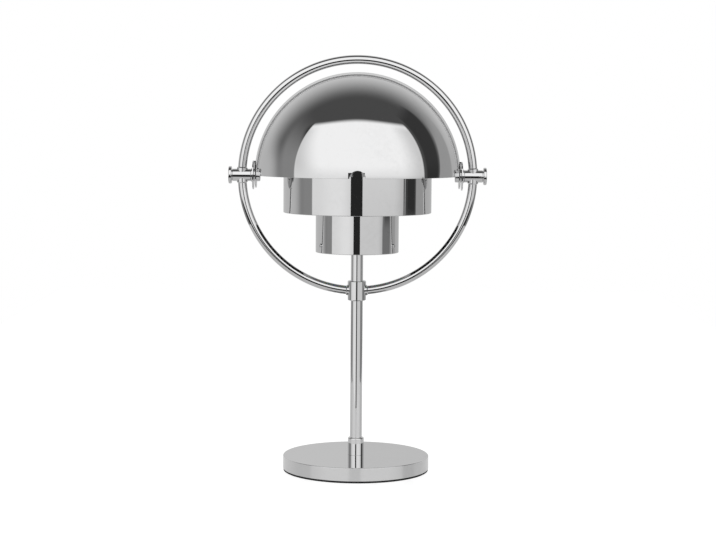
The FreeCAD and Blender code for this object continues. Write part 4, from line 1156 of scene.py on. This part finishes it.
def lathe_normals(mesh, bevel):
    """Exact normals for the faces of a merged mesh that are turned about the Z axis.

    Where a face's level part points along the spoke through its middle, each of its corners gets
    that level part along its own spoke, and the face's rise. Along the bevel under the top the
    normals roll from level to up, as on a polished edge. Other faces keep their own normal.
    """
    faces = mesh.polygons
    face = np.repeat(np.arange(len(faces)), values_of(faces, "loop_total", kind=int))
    normals, middles = (values_of(faces, name, 3)[face] for name in ("normal", "center"))
    places = values_of(mesh.vertices, "co", 3)[values_of(mesh.loops, "vertex_index", kind=int)]
    outwards, ways = (flat / np.maximum(np.linalg.norm(flat, axis=1, keepdims=True), TINY)
                      for flat in (places[:, :2], middles[:, :2]))
    level = np.linalg.norm(normals[:, :2], axis=1, keepdims=True)
    along = np.sum(normals[:, :2] * ways, axis=1, keepdims=True)
    is_turned = np.abs(along) > np.maximum(level, LEVEL_LEAST) * SPOKE_LEAN
    exact = np.concatenate([np.sign(along) * level * outwards, normals[:, 2:]], axis=1)
    normals = np.where(is_turned, exact, normals)
    top = places[:, 2].max()
    rise = np.clip((places[:, 2:] - top + bevel) / bevel, 0.0, 1.0)
    rolled = np.concatenate([outwards * (1.0 - rise), rise], axis=1)
    rolled /= np.linalg.norm(rolled, axis=1, keepdims=True)
    on_bevel = is_turned & (np.abs(middles[:, 2:] - top + bevel / 2) < bevel / 4)
    return np.where(on_bevel, rolled, normals)


class LAMP_OT_base(LampOperator, bpy.types.Operator):
    """Polish a copy of the base's shell, with its charging slot and button hole"""
    bl_idname = "lamp.base"
    bl_label = "Base"

    def execute(self, context):
        mesh = frame["nodes"]["base_shell"].data.copy()
        mesh.name = "base_shell_finished"
        work = bmesh.new()
        work.from_mesh(mesh)
        bmesh.ops.remove_doubles(work, verts=work.verts, dist=MERGE)
        work.to_mesh(mesh)
        work.free()
        mesh.shade_smooth()
        bevel = context.scene.lamp_metal.base_bevel
        mesh.normals_split_custom_set(lathe_normals(mesh, bevel).tolist())
        take_place(mesh, "base_shell")
        return {"FINISHED"}


class LAMP_OT_kept_nodes(LampOperator, bpy.types.Operator):
    """Give every construction node its slot's finish"""
    bl_idname = "lamp.kept_nodes"
    bl_label = "Other nodes"

    def execute(self, context):
        for node in SLOT_OF:
            coat(frame["nodes"][node].data, node)
        return {"FINISHED"}


# Studio

# Light from straight behind: where it starts and is full, as the cosine of the angle from there, and
# its least and most
BACK_POOL = (0.1, 0.95, 0.09, 0.78)

# Where a panel's level goes from low to high, in degrees above the horizon, and one part in 100 degrees
HORIZON = (-4.0, 14.0)
PER_HUNDRED = 0.01

# The studio's table and card, and the camera's sensor in mm
STAGE_ROUGHNESS, STAGE_SHINE = 0.34, 0.3
CARD_BOTTOM, CARD_GLOW = -1.0, 0.025
SENSOR_WIDTH = 36.0

# Panels of light and dark round the lamp, in degrees: azimuth 0 is towards the camera and grows to
# the right. Each has its left and right edges, how far they lean for each degree upwards and how soft
# they are, its top, how far that drops at 100 degrees to the side and how soft it is, and its level
# near the horizon and above it. Each lies over the ones before it.
PANEL_INPUTS = ("Left", "Right", "Lean Left", "Lean Right", "Soft Left", "Soft Right",
                "High", "Arch", "Soft Top", "Level Low", "Level High")
STUDIO_PANELS = {
    "back low left": (-200, -101, 0.0, -0.3, 12, 21, 14, 0, 10, 0.61, 0.61),
    "back low right": (104, 200, 0.3, 0.0, 2, 2, 14, 0, 10, 0.54, 0.58),
    "left side": (-97, -60, -0.2, 0.0, 8, 8, 34, 0, 22, 0.31, 0.31),
    "right side": (104, 130, 0.3, 0.0, 2, 2, 30, 0, 14, 0.41, 0.41),
    "front panel": (-73.8, 78.3, -0.04, 0.0, 1.4, 1.6, 64.6, 29, 3.2, 1.05, 1.27),
    "front left fade": (-73.8, -52, -0.04, -0.43, 1.4, 17, 60, 26, 6, 0.95, 0.82),
    "front right fade": (63, 78.3, 0.0, 0.0, 15, 1.6, 60, 26, 6, 0.80, 0.84),
    "front low right": (-14, 78.3, 0.0, 0.0, 12, 1.6, -1.0, 0, 3, 0.81, 0.81),
    "front low edge": (71, 78.3, 0.0, 0.0, 14, 1.6, -1.0, 0, 3, 0.53, 0.53),
    "front low line": (75.8, 78.0, 0.0, 0.0, 0.5, 0.5, -1.0, 0, 1.0, 0.05, 0.05),
    "front foot": (-100, 100, 0.0, 0.0, 3, 3, -12.5, 0, 2, 0.02, 0.02),
    "black flag": (83, 101, 0.0, 0.26, 1.8, 2.6, 54, 0, 6, 0.037, 0.05),
    "black flag foot": (74, 101, 0.0, 0.0, 0.8, 0.8, -3.3, 0, 0.4, 0.22, 0.22),
    "low left dark": (-150, -78, 0.0, 0.0, 4, 4, -6.0, 0, 1.5, 0.31, 0.31),
    "low right dark": (82, 150, 0.0, 0.0, 4, 4, -6.0, 0, 1.5, 0.28, 0.28),
}


def studio_panel_group():
    """A panel of light seen between two azimuths and up to an arched top, laid over what is under it."""
    labels = ("Under", "Azimuth", "Elevation", *PANEL_INPUTS)
    tree, given, result = group_tree("studio_panel", dict.fromkeys(labels, 0.0), "Level")
    azimuth, elevation = given["Azimuth"], given["Elevation"]

    def edge(value, place, soft):
        """0 before and 1 after a soft edge."""
        return eased(tree, value, minus(tree, place, soft), plus(tree, place, soft))

    sides = []
    for side in ("Left", "Right"):
        place = plus(tree, given[side], times(tree, elevation, given["Lean " + side]))
        sides.append(edge(azimuth, place, given["Soft " + side]))
    aside = math_node(tree, "POWER", times(tree, azimuth, PER_HUNDRED), 2.0)
    top = minus(tree, given["High"], times(tree, given["Arch"], aside))
    under_top = minus(tree, 1.0, edge(elevation, top, given["Soft Top"]))
    mask = times(tree, minus(tree, *sides), under_top)
    level = eased(tree, elevation, *HORIZON, given["Level Low"], given["Level High"])
    gain = times(tree, mask, minus(tree, level, given["Under"]))
    tree.links.new(plus(tree, given["Under"], gain), result["Level"])
    return tree


def make_world():
    """The studio seen by direction: white to the camera, panels of light and dark to the chrome."""
    world = bpy.data.worlds.new("lamp_studio")
    world.use_nodes = True
    bpy.context.scene.world = world
    tree = world.node_tree
    tree.nodes.clear()
    way = tree.nodes.new("ShaderNodeTexCoord").outputs["Generated"]
    x, y, z = add_node(tree, "ShaderNodeSeparateXYZ", {0: way}).outputs
    azimuth = times(tree, math_node(tree, "ARCTAN2", x, times(tree, y, -1.0)), math.degrees(1.0))
    elevation = times(tree, math_node(tree, "ARCSINE", z), math.degrees(1.0))
    group = studio_panel_group()
    level = eased(tree, y, *BACK_POOL)
    for name, values in STUDIO_PANELS.items():
        inputs = dict(zip(PANEL_INPUTS, values), Under=level, Azimuth=azimuth, Elevation=elevation)
        level = add_node(tree, "ShaderNodeGroup", inputs, node_tree=group, label=name).outputs["Level"]
    rays = tree.nodes.new("ShaderNodeLightPath").outputs
    seen = math_node(tree, "MAXIMUM", rays["Is Camera Ray"], rays["Is Transmission Ray"])
    unseen = times(tree, level, minus(tree, 1.0, seen))
    light = add_node(tree, "ShaderNodeBackground", {
        "Color": WHITE, "Strength": plus(tree, unseen, seen)})
    add_node(tree, "ShaderNodeOutputWorld", {0: light.outputs[0]})


def stage_plane(name, corners, body, rough, shine, glow=0.0):
    """A flat part of the studio, which is not part of the lamp, with its grey, gloss and light."""
    mesh = bpy.data.meshes.new(name)
    mesh.from_pydata(corners, [], [(0, 1, 2, 3)])
    material, tree, shader = new_material(name, {
        "Base Color": (body, body, body, 1.0), "Roughness": rough, "Specular IOR Level": shine,
        "Emission Color": WHITE, "Emission Strength": glow})
    mesh.materials.append(material)
    plane = placed(name, mesh)
    return plane, tree, shader


def make_floor(studio):
    """The pale table top, which keeps the lamp's faint shadow."""
    front, side, back = studio.floor_front, studio.floor_side, studio.floor_back
    corners = [(-side, -front, 0.0), (side, -front, 0.0), (side, back, 0.0), (-side, back, 0.0)]
    _, tree, shader = stage_plane("floor", corners, studio.floor_body, STAGE_ROUGHNESS, STAGE_SHINE)
    rays = tree.nodes.new("ShaderNodeLightPath").outputs
    glow = plus(tree, times(tree, rays["Is Camera Ray"], studio.floor_glow),
                times(tree, rays["Is Glossy Ray"], studio.floor_mirrored))
    tree.links.new(glow, shader.inputs["Emission Strength"])


def make_card(studio):
    """The dark gap between the front lights, which only reflections show."""
    y, left, right, top = -studio.card_distance, -studio.card_left, studio.card_right, studio.card_top
    corners = [(right, y, CARD_BOTTOM), (left, y, CARD_BOTTOM), (left, y, top), (right, y, top)]
    card, _, _ = stage_plane("dark_card", corners, 0.0, 1.0, 0.0, CARD_GLOW)
    card.visible_camera = card.visible_diffuse = card.visible_shadow = False


class LAMP_OT_studio(LampOperator, bpy.types.Operator):
    """Set up the camera, the studio's light and the floor"""
    bl_idname = "lamp.studio"
    bl_label = "Studio"

    def execute(self, context):
        scene = context.scene
        studio = scene.lamp_studio
        scene.view_settings.view_transform = "Standard"
        camera = bpy.data.cameras.new("camera")
        camera.lens = studio.camera_lens
        camera.sensor_width = SENSOR_WIDTH
        stand = placed("camera", camera)
        stand.location = (studio.camera_side, -studio.camera_distance, PIVOT[2] + studio.camera_rise)
        stand.rotation_euler = (math.pi / 2 - studio.camera_pitch, studio.camera_roll, 0.0)
        scene.camera = stand
        make_world()
        make_floor(studio)
        make_card(studio)
        return {"FINISHED"}


class LAMP_PT_panel(bpy.types.Panel):
    """The lamp's operators and sizes in the 3D view's sidebar"""
    bl_idname = "LAMP_PT_panel"
    bl_label = "Chrome table lamp"
    bl_space_type = "VIEW_3D"
    bl_region_type = "UI"
    bl_category = "Lamp"

    def draw(self, context):
        for operator in OPERATORS:
            self.layout.operator(operator.bl_idname)
        for name, group in SETTINGS.items():
            box = self.layout.box()
            box.label(text=group.__doc__)
            for size in group.__annotations__:
                box.prop(getattr(context.scene, name), size)


OPERATORS = (LAMP_OT_studio, LAMP_OT_shades, LAMP_OT_drums, LAMP_OT_stem, LAMP_OT_ring, LAMP_OT_pivots,
             LAMP_OT_screws, LAMP_OT_base, LAMP_OT_kept_nodes)
SETTINGS = {"lamp_shades": LampShadeSizes, "lamp_metal": LampMetalSizes, "lamp_screws": LampScrewSizes,
            "lamp_finish": LampFinish, "lamp_studio": LampStudio}


def register():
    for group in (*SETTINGS.values(), *OPERATORS, LAMP_PT_panel):
        bpy.utils.register_class(group)
    for name, group in SETTINGS.items():
        setattr(bpy.types.Scene, name, bpy.props.PointerProperty(type=group))


def unregister():
    for name in SETTINGS:
        delattr(bpy.types.Scene, name)
    for group in (LAMP_PT_panel, *OPERATORS, *SETTINGS.values()):
        bpy.utils.unregister_class(group)


def main():
    """Make the whole lamp."""
    register()
    for operator in OPERATORS:
        family, name = operator.bl_idname.split(".")
        getattr(getattr(bpy.ops, family), name)()


if __name__ == "__main__":
    main()
